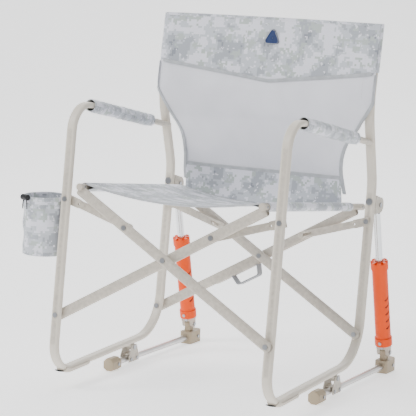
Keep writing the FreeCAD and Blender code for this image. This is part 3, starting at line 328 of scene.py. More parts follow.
CREAM_PAINT = hard_material("cream powder coat", (0.70, 0.645, 0.555), 0.38, 1500.0, 0.00006,
                            wear=(0.38, 0.34, 0.29))
CREAM_PLASTIC = hard_material("cream plastic", (0.57, 0.51, 0.43), 0.42, 700.0, 0.00003)
BEIGE_PLASTIC = hard_material("beige plastic", (0.40, 0.325, 0.225), 0.48, 600.0, 0.00005)
ORANGE_PLASTIC = hard_material("orange plastic", (0.86, 0.075, 0.0), 0.36, 500.0, 0.00002, gloss=0.22)
ZINC = hard_material("zinc", (0.36, 0.37, 0.39), 0.30, 300.0, 0.00002, metallic=1.0, spread=0.12)
BLACK_PLASTIC = hard_material("black plastic", (0.018, 0.018, 0.02), 0.42, 700.0, 0.00005, spread=0.25)
ALUMINIUM = hard_material("brushed aluminium", (0.62, 0.61, 0.60), 0.30, 260.0, 0.00002, metallic=1.0,
                          spread=0.10)
CHROME = chrome_material()
FOAM = foam_material()
CAMO = camo_material()
NET = mesh_material()
BINDING = tape_material("pale binding", (0.56, 0.58, 0.61))
HEM_TAPE = tape_material("white hem tape", (0.78, 0.79, 0.81))
WEBBING = tape_material("grey webbing", (0.33, 0.34, 0.36), 0.0022, 0.0006)
THREAD = tape_material("pale thread", (0.72, 0.73, 0.74), 0.0008, 0.0002)
PATCH = tape_material("navy patch", (0.012, 0.035, 0.13), 0.0009, 0.0002)
DRAWCORD = tape_material("black cord", (0.02, 0.02, 0.022), 0.0012, 0.0003)

SLOT_MATERIALS = {"frame_paint": CREAM_PAINT, "cream_plastic": CREAM_PLASTIC, "beige_plastic": BEIGE_PLASTIC,
                  "orange_plastic": ORANGE_PLASTIC, "chrome_rod": CHROME, "zinc": ZINC, "black_foam": FOAM,
                  "black_plastic": BLACK_PLASTIC, "white_mesh": NET, "grey_webbing": WEBBING,
                  "camo_fabric": CAMO}
NODE_FINISHES = {"side_rivets": ZINC, "x_rivets": ZINC, "rocker_screws": ZINC, "shock_screws": ZINC,
                 "foot_pad": CREAM_PLASTIC, "rail_plugs": CREAM_PLASTIC, "shock_yoke": CREAM_PLASTIC,
                 "shock_rod": CHROME, "shock": ORANGE_PLASTIC, "rocker_cap": BEIGE_PLASTIC,
                 "rocker_block": BEIGE_PLASTIC, "arm_foam": FOAM, "cord_lock": BLACK_PLASTIC,
                 "carry_handle": WEBBING, "rocker_bar": ALUMINIUM}
SOFT_EDGED = {"rocker_block": 2.0, "rocker_cap": 1.2, "shock_yoke": 1.2, "hinge_bracket": 0.5,
              "shock_clevis": 0.6, "shock_collars": 0.8, "brace": 0.6, "foot_pad": 1.0, "cord_lock": 1.5,
              "shock_barrel": 0.5, "rail_plugs": 0.5, "shock_rod": 0.8}


def finish_cad_nodes():
    """Every carried-over node: its material, smooth shading and broken edges."""
    for name, piece in NODES.items():
        body_material = CREAM_PAINT
        if name.startswith(("side_rivets", "x_rivets")):
            body_material = ZINC
        else:
            for prefix, material in NODE_FINISHES.items():
                if name.startswith(prefix) and not name.startswith("shock_clevis"):
                    body_material = material
                    break
        if not piece.material_slots:
            piece.data.materials.append(body_material)
        for slot in piece.material_slots:
            slot.material = body_material
        for prefix, width in SOFT_EDGED.items():
            if name.startswith(prefix):
                edge = piece.modifiers.new("broken edges", "BEVEL")
                edge.width = width * MM
                edge.segments = 2
                edge.limit_method = "ANGLE"
                edge.angle_limit = math.radians(35)
                edge.use_clamp_overlap = True
                break
        piece.data.shade_smooth()
        smooth = piece.modifiers.new("flat faces", "WEIGHTED_NORMAL")
        smooth.keep_sharp = True


# ---------------------------------------------------------------- mesh helpers
def add_object(name, data):
    """Object in the scene for a mesh, curve, light or camera."""
    holder = bpy.data.objects.new(name, data)
    bpy.context.scene.collection.objects.link(holder)
    return holder


def built_piece(name, bm, material):
    """Object from a finished bmesh."""
    mesh = bpy.data.meshes.new(name)
    bm.to_mesh(mesh)
    bm.free()
    mesh.materials.append(material)
    return add_object(name, mesh)


def grid_piece(name, rows, material, cloth, closed=False, thickness=0.0, levels=0):
    """Sheet from rows of points. `cloth` gives the same grid of (u, v) cloth coordinates in metres."""
    bm = bmesh.new()
    layer = bm.loops.layers.uv.new("cloth")
    made = [[bm.verts.new(point) for point in row] for row in rows]
    count = len(rows[0])
    for j in range(len(rows) - 1):
        for i in range(count if closed else count - 1):
            k = (i + 1) % count
            face = bm.faces.new((made[j][i], made[j][k], made[j + 1][k], made[j + 1][i]))
            after = i + 1 if closed else k
            places = (cloth[j][i], cloth[j][after], cloth[j + 1][after], cloth[j + 1][i])
            for loop, place in zip(face.loops, places):
                loop[layer].uv = place
    bm.normal_update()
    piece = built_piece(name, bm, material)
    piece.data.shade_smooth()
    if thickness:
        solid = piece.modifiers.new("thickness", "SOLIDIFY")
        solid.thickness = thickness
        solid.offset = 0.0
    if levels:
        smooth = piece.modifiers.new("smooth", "SUBSURF")
        smooth.levels = levels
        smooth.render_levels = levels
    apply_modifiers(piece)
    return piece


def apply_modifiers(piece):
    """Leaves the piece with its final mesh and no modifiers."""
    bpy.context.view_layer.update()
    graph = bpy.context.evaluated_depsgraph_get()
    final = bpy.data.meshes.new_from_object(piece.evaluated_get(graph))
    piece.modifiers.clear()
    piece.data = final
    final.shade_smooth()


def cumulative(points):
    """Distance along a list of points, starting at 0."""
    total = [0.0]
    for before, after in zip(points, points[1:]):
        total.append(total[-1] + (Vector(after) - Vector(before)).length)
    return total


def tape_piece(name, points, across, width, thickness, material, levels=1):
    """Flat tape along a list of points; `across` gives its width direction at each point."""
    rows = []
    cloth = []
    along = cumulative(points)
    for point, side, run in zip(points, across, along):
        side = Vector(side).normalized() * (width / 2)
        rows.append([Vector(point) - side, Vector(point) - side * 0.4, Vector(point) + side * 0.4,
                     Vector(point) + side])
        cloth.append([(0.0, run), (width * 0.3, run), (width * 0.7, run), (width, run)])
    return grid_piece(name, rows, material, cloth, thickness=thickness, levels=levels)


def tube_piece(name, points, radius, material):
    """Round cord through a list of points."""
    curve = bpy.data.curves.new(name, "CURVE")
    curve.dimensions = "3D"
    curve.bevel_depth = radius
    curve.bevel_resolution = 2
    curve.use_fill_caps = True
    spline = curve.splines.new("NURBS")
    spline.points.add(len(points) - 1)
    for target, point in zip(spline.points, points):
        target.co = (*point, 1.0)
    spline.use_endpoint_u = True
    spline.order_u = 4
    holder = add_object(name, curve)
    bpy.context.view_layer.update()
    graph = bpy.context.evaluated_depsgraph_get()
    mesh = bpy.data.meshes.new_from_object(holder.evaluated_get(graph))
    bpy.data.objects.remove(holder)
    mesh.materials.clear()
    mesh.materials.append(material)
    if not mesh.uv_layers:
        mesh.uv_layers.new(name="cloth")
    mesh.uv_layers[0].name = "cloth"
    mesh.shade_smooth()
    return add_object(name, mesh)


def stitches(name, points, lift, length=0.0035, gap=0.0022, radius=0.00045):
    """Row of short raised stitches along a list of points, as one mesh."""
    bm = bmesh.new()
    layer = bm.loops.layers.uv.new("cloth")
    along = cumulative(points)
    total = along[-1]
    place = gap

    def at(distance):
        index = max(i for i, run in enumerate(along) if run <= distance + 1e-9)
        index = min(index, len(points) - 2)
        share = (distance - along[index]) / max(1e-9, along[index + 1] - along[index])
        return Vector(points[index]).lerp(Vector(points[index + 1]), share)

    lift = Vector(lift)
    while place + length < total:
        start, end = at(place) + lift, at(place + length) + lift
        run = (end - start).normalized()
        side = run.cross(lift).normalized() * radius
        up = lift.normalized() * radius
        ring = []
        for centre, swell in ((start, 0.3), (start.lerp(end, 0.3), 1.0),
                              (start.lerp(end, 0.7), 1.0), (end, 0.3)):
            ring.append([bm.verts.new(centre + (side * a + up * b) * swell)
                         for a, b in ((1, 0), (0, 1), (-1, 0), (0, -1))])
        for first, second in zip(ring, ring[1:]):
            for i in range(4):
                k = (i + 1) % 4
                face = bm.faces.new((first[i], first[k], second[k], second[i]))
                for loop in face.loops:
                    loop[layer].uv = (loop.vert.co.x, loop.vert.co.z)
        bm.faces.new(ring[0][::-1])
        bm.faces.new(ring[-1])
        place += length + gap
    bm.normal_update()
    return built_piece(name, bm, THREAD)


def wave(a, b):
    """Smooth repeatable ripple between -1 and 1."""
    return 0.5 * math.sin(a + 1.7 * math.sin(b)) + 0.5 * math.sin(1.9 * b + 0.8 * math.cos(1.3 * a))


# ---------------------------------------------------------------- seat sling
def fold_point(x, u, v):
    """Fold frame in millimetres (u rearward square to the legs, v up them) to the row frame."""
    y = u * math.cos(LEAN) + v * math.sin(LEAN)
    z = v * math.cos(LEAN) - u * math.sin(LEAN)
    return Vector((MID_X + x * MM, row_y(y), z * MM))


SEAT_FRONT_U = -44.0
SEAT_REAR_U = 404.0
SEAT_SAG = 27.0
WRAP_RADIUS = RAIL_RADIUS / MM + 1.6
RAIL_X = RAIL_REACH / MM
SEAT_TOP_X = RAIL_X - 3.0
SEAT_TOP_V = RAIL_V + WRAP_RADIUS


def seat_top(x):
    """Height in the fold frame of the seat's upper face."""
    return SEAT_TOP_V - SEAT_SAG * (1 - (x / SEAT_TOP_X) ** 2)


def seat_profile(front):
    """Half section (x >= 0) from the middle out over the rail, round it and back to the hem."""
    sag = SEAT_SAG + 1.5 * front
    points = []
    steps = 22
    for i in range(steps + 1):
        share = i / steps
        points.append((SEAT_TOP_X * share, SEAT_TOP_V - sag * (1 - share ** 2)))
    for i in range(1, 13):
        angle = math.radians(90 - 15 * i)
        points.append((RAIL_X + WRAP_RADIUS * math.cos(angle), RAIL_V + WRAP_RADIUS * math.sin(angle)))
    low_x, low_v = points[-1]
    hem_x = RAIL_X - 33.0
    hem_v = SEAT_TOP_V - sag * (1 - (hem_x / SEAT_TOP_X) ** 2) - 2.2
    for share in (0.35, 0.7, 0.92, 1.0):
        points.append((low_x + (hem_x - low_x) * share, low_v + (hem_v - low_v) * share ** 0.8))
    points.append((hem_x - 9.0, hem_v - 1.6))
    return points


def seat_sling():
    """Cloth over both rails, sewn back under itself into a sleeve along each."""
    rows = []
    cloth = []
    stations = 40
    for j in range(stations + 1):
        share = j / stations
        u = SEAT_FRONT_U + (SEAT_REAR_U - SEAT_FRONT_U) * share
        front = max(0.0, 1 - share * 6)
        half = seat_profile(front)
        line = [(-x, v) for x, v in reversed(half)] + half[1:]
        length = 0.0
        row = []
        places = []
        last = None
        for x, v in line:
            inside = max(0.0, 1 - (abs(x) / 215.0) ** 4)
            ripple = 1.1 * inside * wave(x * 0.021, u * 0.017) + 0.5 * inside * wave(u * 0.05, x * 0.013)
            pull = 0.5 * math.sin(u * 0.16) * max(0.0, 1 - abs(abs(x) - 212) / 26)
            point = fold_point(x, u, v + ripple + pull)
            if last is not None:
                length += (point - last).length
            last = point
            row.append(point)
            places.append((length, u * MM))
        rows.append(row)
        cloth.append(places)
    piece = grid_piece("seat_cloth", rows, CAMO, cloth, thickness=1.3 * MM, levels=1)
    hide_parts("seat_sling")
    return piece


def seat_line(u, inset, lift):
    """Points along the seat's top at one u, from rail to rail."""
    reach = SEAT_TOP_X - inset
    points = []
    for i in range(49):
        x = -reach + 2 * reach * i / 48
        points.append(fold_point(x, u, seat_top(x) + lift))
    return points


def crossing(piece):
    """Bakes the world transform into a piece of the seat."""
    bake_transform(piece)


def seat_trim():
    """Bound front and rear edges, their stitching, and the seam along each rail."""
    for name, u, outward in (("front", SEAT_FRONT_U, -1), ("rear", SEAT_REAR_U, 1)):
        line = seat_line(u, 4.0, -0.7 if name == "front" else -0.4)
        across = [Vector((0, 1, 0)) * outward for _ in line]
        edge = tape_piece("seat_binding_" + name, line, across, 11 * MM, 4.0 * MM, BINDING, 2)
        crossing(edge)
        seam = stitches("seat_stitch_" + name, seat_line(u - outward * 9.0, 8.0, 0.3), (0, 0, 0.0006))
        crossing(seam)
    for side_name, side in SIDES.items():
        body = "cross_a" if side < 0 else "cross_b"
        for index, inset in enumerate((30.0, 37.0)):
            line = []
            for i in range(80):
                u = SEAT_FRONT_U + 8 + (SEAT_REAR_U - SEAT_FRONT_U - 16) * i / 79
                x = RAIL_X - inset
                line.append(fold_point(side * x, u, seat_top(x) + 0.6))
            seam = stitches("seat_seam_%s_%d" % (side_name, index), line, (0, 0, 0.0006))
            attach(seam, body)


# ---------------------------------------------------------------- back sling
POST_TOP = (286.0, 479.0, 876.0)
POST_LUMBAR = (286.0, 444.0, 672.0)
POST_LOW = (286.0, 489.8, 492.0)
LUMBAR_BEND = 240.0
BACK_SAG = 26.0
BAND_TOP = 878.0
CLEAR = 9.2                             # sling face ahead of the post's centre line
TUBE_HALF = 12.5


def post_y(z):
    """Depth of the post's centre line at height z, with its lumbar bend."""
    upper = math.atan2(POST_TOP[1] - POST_LUMBAR[1], POST_TOP[2] - POST_LUMBAR[2])
    lower = math.atan2(POST_LOW[1] - POST_LUMBAR[1], POST_LUMBAR[2] - POST_LOW[2])
    reach = LUMBAR_BEND * math.tan((upper + lower) / 2)
    low_z = POST_LUMBAR[2] - reach * math.cos(lower)
    high_z = POST_LUMBAR[2] + reach * math.cos(upper)
    if z >= high_z:
        return POST_LUMBAR[1] + (z - POST_LUMBAR[2]) * math.tan(upper)
    if z <= low_z:
        return POST_LUMBAR[1] + (POST_LUMBAR[2] - z) * math.tan(lower)
    centre_z = low_z + LUMBAR_BEND * math.sin(lower)
    low_y = POST_LUMBAR[1] + reach * math.sin(lower)
    centre_y = low_y - LUMBAR_BEND * (1 - math.cos(lower))
    return centre_y + LUMBAR_BEND - math.sqrt(LUMBAR_BEND ** 2 - (z - centre_z) ** 2)


WRAP_EDGE = 299.0                       # the cloth reaches the outer face of each post
POST_INSIDE = 272.0
# height, half width and depth of the side edge; None where it follows the post
SIDE_EDGE = [(BAND_TOP, WRAP_EDGE, None), (690.0, WRAP_EDGE, None), (677.0, 292.0, 439.6),
             (655.0, 278.0, 440.6), (640.0, 268.0, 442.0), (625.0, 259.0, 445.5),
             (607.0, 245.0, 446.5), (590.0, 233.0, 446.5), (575.0, 226.5, 446.5),
             (560.0, 222.0, 446.5), (545.0, 219.5, 446.5), (528.0, 218.0, 448.0),
             (511.0, 218.8, 450.0), (494.0, 221.0, 453.0), (477.0, 222.5, 457.5),
             (460.0, 224.0, 463.0)]


def side_edge(z):
    """Half width and depth of the back's side edge at height z."""
    for high, low in zip(SIDE_EDGE, SIDE_EDGE[1:]):
        if high[0] >= z >= low[0]:
            share = (high[0] - z) / (high[0] - low[0])
            high_y = high[2] if high[2] is not None else post_y(high[0]) - CLEAR
            low_y = low[2] if low[2] is not None else post_y(low[0]) - CLEAR
            if high[2] is None and low[2] is None:
                return WRAP_EDGE, post_y(z) - CLEAR
            return high[1] + (low[1] - high[1]) * share, high_y + (low_y - high_y) * share
    return SIDE_EDGE[-1][1], SIDE_EDGE[-1][2]


def row_point(x, y, z):
    return Vector((MID_X + x * MM, row_y(y), z * MM))


def back_point(share, z, forward=0.0):
    """Point of the back; share runs from -1 at the left edge to 1 at the right."""
    half, y = side_edge(z)
    x = half * share
    inside = max(0.0, 1 - (x / min(half, POST_INSIDE)) ** 2)
    slack = inside * (1.3 * wave(x * 0.016, z * 0.019) + 0.5 * wave(z * 0.05, x * 0.03))
    return row_point(x, y + BACK_SAG * inside - forward + slack, z)


def band_low(share):
    """Height of the band's pointed lower edge."""
    return 762.0 - 38.0 * (1 - abs(share)) ** 0.92


def back_panel(name, top, bottom, material, forward, edge=0.997, columns=60, rows=26,
               thickness=1.2 * MM):
    """Panel of the back between two height functions of the share across."""
    points = []
    cloth = []
    for j in range(rows + 1):
        row = []
        places = []
        for i in range(columns + 1):
            share = edge * (2 * i / columns - 1)
            high, low = top(share), bottom(share)
            z = high + (low - high) * j / rows
            point = back_point(share, z, forward)
            row.append(point)
            places.append((point.x, point.z))
        points.append(row)
        cloth.append(places)
    piece = grid_piece(name, points, material, cloth, thickness=thickness, levels=1)
    fold_with_back(piece)
    return piece


def back_foot():
    """Camouflage cloth from the net's lower edge down to the rear edge of the seat."""
    rows = []
    cloth = []
    columns = 56
    for j in range(15):
        drop = j / 14
        row = []
        places = []
        for i in range(columns + 1):
            share = 0.985 * (2 * i / columns - 1)
            high = back_point(share, 500.0 + 4 * share * share, 1.6)
            x = 222.0 * share
            low = fold_point(x, SEAT_REAR_U - 3.0, seat_top(x) + 1.8)
            point = high.lerp(low, drop)
            belly = math.sin(math.pi * drop) * (1 - share ** 2) * 3.0 * MM
            row.append(point + Vector((0, belly, -belly)))
            places.append((point.x, point.z))
        rows.append(row)
        cloth.append(places)
    piece = grid_piece("back_foot_cloth", rows, CAMO, cloth, thickness=1.2 * MM, levels=1)
    fold_with_back(piece)


def fold_with_back(piece):
    """Attaches a piece of the back to the left side's body and gives it a mesh of its own."""
    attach(piece, "side_left")
    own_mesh(piece)


def share_line(share_of, z_of, forward, count=60):
    return [back_point(share_of(t), z_of(t), forward) for t in [i / count for i in range(count + 1)]]


def tape_share(t):
    """Share across the back for a share t along a tape."""
    return 1.94 * t - 0.97


def back_sling():
    """Camouflage band, white net, camouflage foot, and their bindings."""
    band = back_panel("back_band_cloth", lambda s: BAND_TOP, band_low, CAMO, 1.6, rows=22)
    net = back_panel("back_net", lambda s: band_low(s) + 10, lambda s: 488.0 + 4 * s * s, NET,
                     0.0, rows=40, thickness=0.8 * MM)
    back_foot()
    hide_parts("back_band")
    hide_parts("back_mesh")

    lines = {
        "back_tape_low": (tape_share, lambda t: band_low(tape_share(t)) - 1.0, 2.6, BINDING),
        "back_tape_foot": (tape_share, lambda t: 499.0 + 4 * tape_share(t) ** 2, 2.6, BINDING),
        "back_tape_top": (lambda t: 1.96 * t - 0.98, lambda t: BAND_TOP - 3.5, 1.8, CAMO),
    }
    for name, (share_of, z_of, forward, material) in lines.items():
        line = share_line(share_of, z_of, forward)
        tape = tape_piece(name, line, [Vector((0, 0, 1))] * len(line), 9 * MM, 1.6 * MM, material, 1)
        fold_with_back(tape)
        for place, offset in (("low", -3.0), ("high", 3.0)):
            seam_line = share_line(share_of, lambda t: z_of(t) + offset, forward + 1.0)
            seam = stitches("%s_stitch_%s" % (name, place), seam_line, (0, -0.0006, 0))
            fold_with_back(seam)
    for side_name, side in SIDES.items():
        side_binding(side_name, side)


BINDING_TOP = 758.0
BINDING_FOOT = 462.0


def side_binding(side_name, side):
    """Pale binding down the free side edge of the net, from the sleeve to the seat."""
    line = []
    across = []
    for i in range(81):
        z = BINDING_TOP - (BINDING_TOP - BINDING_FOOT) * i / 80
        half, y = side_edge(z)
        line.append(row_point(side * (half - 1.5), y - 0.8, z))
        turned = min(1.0, max(0.0, (z - 680.0) / 20.0))
        across.append(Vector((1 - 0.75 * turned, (0.15 + 0.7 * turned) * side, 0)))
    tape = tape_piece("back_edge_" + side_name, line, across, 10 * MM, 2.6 * MM, BINDING, 1)
    if side < 0:
        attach(tape, "side_left")
    else:
        fold_with_back(tape)


def sleeve_half(z):
    """Reach of the sleeve's flap behind the post, inwards from the post's centre, at height z."""
    return 66.0 if z > 700 else 66.0 - 12.0 * (700 - z) / 30


SLEEVE_SPLIT = 762.0
SLEEVE_LOW = 686.0


def sleeve_part(name, side_name, side, high_z, low_z, material, front):
    """Cloth behind one post between two heights, and round its outer side where `front` is true."""
    rows = []
    cloth = []
    rings = 18
    for j in range(rings + 1):
        z = high_z - (high_z - low_z) * j / rings
        y = post_y(z)
        half_w = TUBE_HALF + 1.9
        half_d = 7.0 + 1.9
        slack = 0.5 * wave(z * 0.11, side * 2.0)
        row = []
        flap = sleeve_half(z)
        section = []
        if front:
            section.append((2.0, y - half_d))
            for k in range(9):
                angle = math.radians(-90 + 180 * k / 8)
                section.append((half_w - half_d + half_d * math.cos(angle), y + half_d * math.sin(angle)))
        section += [(-half_w + 5, y + half_d), (-half_w - 3, y + half_d - 1.0),
                    (-flap * 0.5, y + half_d - 2.0 + slack), (-flap * 0.8, y + half_d - 2.5 + 1.5 * slack),
                    (-flap, y + half_d - 3.0 + 2 * slack)]
        for x, depth in section:
            row.append(row_point(side * (POST_TOP[0] + x), depth, z))
        rows.append(row)
        run = cumulative(row)
        cloth.append([(distance, z * MM) for distance in run])
    piece = grid_piece(name + side_name, rows, material, cloth, thickness=1.3 * MM, levels=1)
    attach(piece, "side_" + side_name)
    if not front:
        flap_folds(piece)
    return piece


def flap_folds(piece):
    """Gives a piece of a flap a mesh of its own."""
    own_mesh(piece)


def post_sleeve(side_name, side):
    """Camouflage sleeve above, net sleeve below, with bound flap and lower edge."""
    piece = sleeve_part("post_sleeve_", side_name, side, BAND_TOP, SLEEVE_SPLIT, CAMO, True)
    sleeve_part("net_flap_", side_name, side, SLEEVE_SPLIT - 0.5, SLEEVE_LOW, HEM_TAPE, False)
    body = "side_" + side_name
    low_z = SLEEVE_LOW

    flap_line = [row_point(side * (POST_TOP[0] - sleeve_half(z) + 4.0), post_y(z) + 9.4 - 3.0, z)
                 for z in [BAND_TOP - 4 - (BAND_TOP - low_z - 8) * i / 40 for i in range(41)]]
    tape = tape_piece("flap_binding_" + side_name, flap_line, [Vector((1, 0, 0))] * 41, 8 * MM, 2.2 * MM,
                      BINDING)
    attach(tape, body)
    flap_folds(tape)

    edge_line = [row_point(side * (POST_TOP[0] - 10.0 - 50.0 * k / 24), post_y(low_z) + 7.4, low_z + 3.0)
                 for k in range(25)]
    hem = tape_piece("flap_hem_" + side_name, edge_line, [Vector((0, 0, 1))] * 25, 8 * MM, 2.0 * MM, BINDING)
    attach(hem, body)
    flap_folds(hem)

    seam_line = [row_point(side * (POST_TOP[0] - 19.0), post_y(z) - CLEAR - 1.6 - 0.6, z)
                 for z in [BAND_TOP - 6 - (BAND_TOP - low_z - 12) * i / 60 for i in range(61)]]
    seam = stitches("sleeve_seam_" + side_name, seam_line, (0, -0.0006, 0))
    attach(seam, body)


def patch():
    """Plain sewn patch in the middle of the band: a rounded triangle, with a stitched border."""
    centre_z = 828.0
    size = 21.0
    outline = []
    for i in range(3):
        corner_angle = math.radians(90 + 120 * i)
        corner = (size * 0.72 * math.cos(corner_angle), size * 0.72 * math.sin(corner_angle))
        for k in range(7):
            angle = corner_angle + math.radians(-60 + 20 * k)
            outline.append((corner[0] + 7.0 * math.cos(angle), corner[1] + 7.0 * math.sin(angle)))
    rows = []
    cloth = []
    for scale in (1.0, 0.94, 0.9, 0.86, 0.5, 0.02):
        lift = 3.1 if 0.86 < scale < 0.99 else 2.5
        rows.append([back_point(x * scale / WRAP_EDGE, centre_z + z * scale, lift + 1.0) for x, z in outline])
        cloth.append([(x * scale * MM, z * scale * MM) for x, z in outline + outline[:1]])
    piece = grid_piece("plain_patch", rows, PATCH, cloth, closed=True, thickness=0.9 * MM, levels=1)
    fold_with_back(piece)
    closed_line = [back_point(x * 0.93 / WRAP_EDGE, centre_z + z * 0.93, 4.6)
                   for x, z in outline + outline[:1]]
    border = stitches("patch_border", closed_line, (0, -0.0004, 0), length=0.0022, gap=0.0006, radius=0.0007)
    fold_with_back(border)


# ---------------------------------------------------------------- arm pads
ARM_SLOPE_DEGREES = -11.6


def arm_frame(side_name):
    """Start and end of the pad's axis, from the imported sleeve."""
    low, high = corners("arm_sleeve_" + side_name)
    radius = (high.x - low.x) / 2
    slope = math.radians(ARM_SLOPE_DEGREES)
    x = (low.x + high.x) / 2
    inset = radius * math.sin(-slope)
    start = Vector((x, low.y + inset, high.z - radius * math.cos(slope)))
    end = Vector((x, high.y - inset, low.z + radius * math.cos(slope)))
    return start, end, radius


def arm_pad(side_name):
    """Fabric sleeve over the foam: open at the front, gathered at the rear, with ripples from sines."""
    start, end, radius = arm_frame(side_name)
    along = (end - start).normalized()
    level = Vector((1, 0, 0))
    up = level.cross(along).normalized()
    length = (end - start).length
    rows = []
    cloth = []
    rings = 60
    around = 28
    for j in range(rings + 1):
        share = j / rings
        run = length * share
        rear = max(0.0, (share - 0.93) / 0.07)
        front = max(0.0, 1 - share / 0.02)
        girth = radius * (1.0 - 0.035 * rear ** 2 - 0.02 * front)
        row = []
        places = []
        for i in range(around + 1):
            angle = 2 * math.pi * i / around
            pleat = rear * 0.0011 * math.sin(9 * angle)
            crease = 0.00055 * wave(run * 120 + 1.3 * math.sin(angle), angle * 2 + run * 30)
            crease += 0.0004 * math.sin(run * 210 + 3 * math.sin(angle + run * 9))
            reach = girth + pleat + crease * (1 - front) - 0.0008
            if i < around:
                row.append(start + along * run + (level * math.cos(angle) + up * math.sin(angle)) * reach)
            places.append((radius * angle, run))
        rows.append(row)
        cloth.append(places)
    last = rows[-1]
    for inset, depth in ((0.93, 0.0012), (0.84, 0.0020), (0.74, 0.0022)):
        flat = 1.0 - (0.93 - inset) * 1.9
        rows.append([end + along * depth + level * (point - end).dot(level) * inset
                     + up * (point - end).dot(up) * inset * flat for point in last])
        cloth.append([(a, length + (1 - inset) * radius) for a, _ in cloth[-1]])
    for inset, depth in ((0.0016, 0.0005), (0.0016, 0.006)):
        rows.insert(0, [start + along * depth + (point - start - along * (point - start).dot(along))
                        * (1 - inset / radius) for point in rows[0 if depth < 0.001 else 1]])
        cloth.insert(0, [(a, -depth) for a, _ in cloth[0]])
    sleeve = grid_piece("arm_sleeve_cloth_" + side_name, rows, CAMO, cloth, closed=True, thickness=0.9 * MM,
                        levels=1)
    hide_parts("arm_sleeve_" + side_name)
    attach(sleeve, "side_" + side_name)

    seam_line = [start + along * (0.006 + (length - 0.03) * i / 80) - up * (radius - 0.0002)
                 for i in range(81)]
    seam = stitches("arm_seam_" + side_name, seam_line, -up * 0.0006)
    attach(seam, "side_" + side_name)
    hem = []
    for i in range(49):
        angle = 2 * math.pi * i / 48
        outward = level * math.cos(angle) + up * math.sin(angle)
        hem.append(start + along * 0.009 + outward * (radius - 0.0004))
    hem_seam = stitches("arm_hem_" + side_name, hem, along * 0.0002, length=0.0028, gap=0.0018)
    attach(hem_seam, "side_" + side_name)


# ---------------------------------------------------------------- cup pouch
def pouch_ring(angle, height, radius, bottom_share):
    """Radius of the soft pouch at one angle and height above its foot, in metres."""
    sag = 0.0016 * wave(angle * 3.0, height * 60) + 0.0009 * math.sin(7 * angle + height * 90)
    pinch = 0.0016 * max(0.0, 1 - abs(height - 0.118) / 0.012) * math.sin(15 * angle)
    return radius - 0.002 + sag * bottom_share + pinch


def cup_pouch():
    """Open cloth cup with a stiff hem, a gathered neck and a flat bottom."""
    radius = 53 * MM
    height = CUP_HIGH.z - CUP_LOW.z
    centre = Vector((CUP_LOW.x + radius, (CUP_LOW.y + CUP_HIGH.y) / 2, CUP_LOW.z))
    around = 64
    rows = []
    cloth = []
    levels_up = [height * i / 44 for i in range(45)]
    profile = [(0.001, 0.02), (0.001, 0.5), (0.001, 0.85), (0.0015, 0.95)]
    for z, share in profile:
        rows.append([centre + Vector((math.cos(2 * math.pi * i / around) * radius * share,
                                      math.sin(2 * math.pi * i / around) * radius * share, z))
                     for i in range(around)])
        cloth.append([(2 * math.pi * i / around * radius, share * radius - radius)
                      for i in range(around + 1)])
    for z in levels_up[1:]:
        row = []
        for i in range(around):
            angle = 2 * math.pi * i / around
            reach = pouch_ring(angle, z, radius, min(1.0, z / 0.02) * min(1.0, (height - z) / 0.03 + 0.2))
            row.append(centre + Vector((math.cos(angle) * reach, math.sin(angle) * reach, z)))
        rows.append(row)
        cloth.append([(2 * math.pi * i / around * radius, z) for i in range(around + 1)])
    piece = grid_piece("cup_pouch", rows, CAMO, cloth, closed=True, thickness=1.6 * MM, levels=1)
    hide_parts("cup_holder")
    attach(piece, "side_left")
    pouch_tapes(centre, radius, height)
    pouch_tab(centre, height)


def pouch_tapes(centre, radius, height):
    """Stitched tapes round the pouch: hem, drawcord channel and foot."""
    wide = 10
    for name, z, thick in (("pouch_hem", height - 0.004, 2.4), ("pouch_channel", height - 0.021, 2.0),
                           ("pouch_foot_tape", 0.006, 1.6)):
        line = []
        for i in range(73):
            angle = 2 * math.pi * i / 72
            reach = pouch_ring(angle, z, radius, 0.2) + 0.0006
            line.append(centre + Vector((math.cos(angle) * reach, math.sin(angle) * reach, z)))
        tape = tape_piece(name, line, [Vector((0, 0, 1))] * len(line), wide * MM, thick * MM, CAMO)
        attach(tape, "side_left")
        for offset in (-0.38, 0.38):
            lifted = [point + Vector((0, 0, offset * wide * MM)) for point in line]
            outward = [(point - centre - Vector((0, 0, (point - centre).z))).normalized() * thick * 0.55 * MM
                       for point in line]
            lifted = [point + out for point, out in zip(lifted, outward)]
            seam = stitches("%s_stitch_%s" % (name, "low" if offset < 0 else "high"), lifted, (0, 0, 0.0001),
                            length=0.003, gap=0.002)
            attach(seam, "side_left")


def pouch_tab(centre, height):
    """Flat cloth between the pouch and the leg's outer face."""
    leg_face = MID_X - HALF_WIDTH - TUBE_HALF * MM
    rows = []
    cloth = []
    for j in range(13):
        z = centre.z + 0.012 + (height - 0.034) * j / 12
        row = []
        places = []
        for i in range(7):
            share = i / 6
            y = centre.y - 0.015 + 0.03 * share
            bulge = 0.0012 * wave(j * 0.9, i * 0.7)
            row.append(Vector((leg_face - 0.0012 + bulge * 0.4, y, z)))
            places.append((0.03 * share, z))
        rows.append(row)
        cloth.append(places)
    tab = grid_piece("pouch_tab", rows, CAMO, cloth, thickness=1.2 * MM, levels=1)
    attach(tab, "side_left")


def drawcord_ends():
    """Short ends of the gathering cord below and beside the lock."""
    low, high = corners("cord_lock")
    middle = (low + high) / 2
    for index, sway in enumerate((-0.004, 0.005)):
        line = [middle + Vector((sway * 0.4, 0, 0)), middle + Vector((sway, -0.002, -0.008)),
                middle + Vector((sway * 1.6, -0.003, -0.018)), middle + Vector((sway * 1.2, -0.002, -0.027))]
        cord = tube_piece("drawcord_end_%d" % index, line, 0.0013, DRAWCORD)
        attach(cord, "side_left")
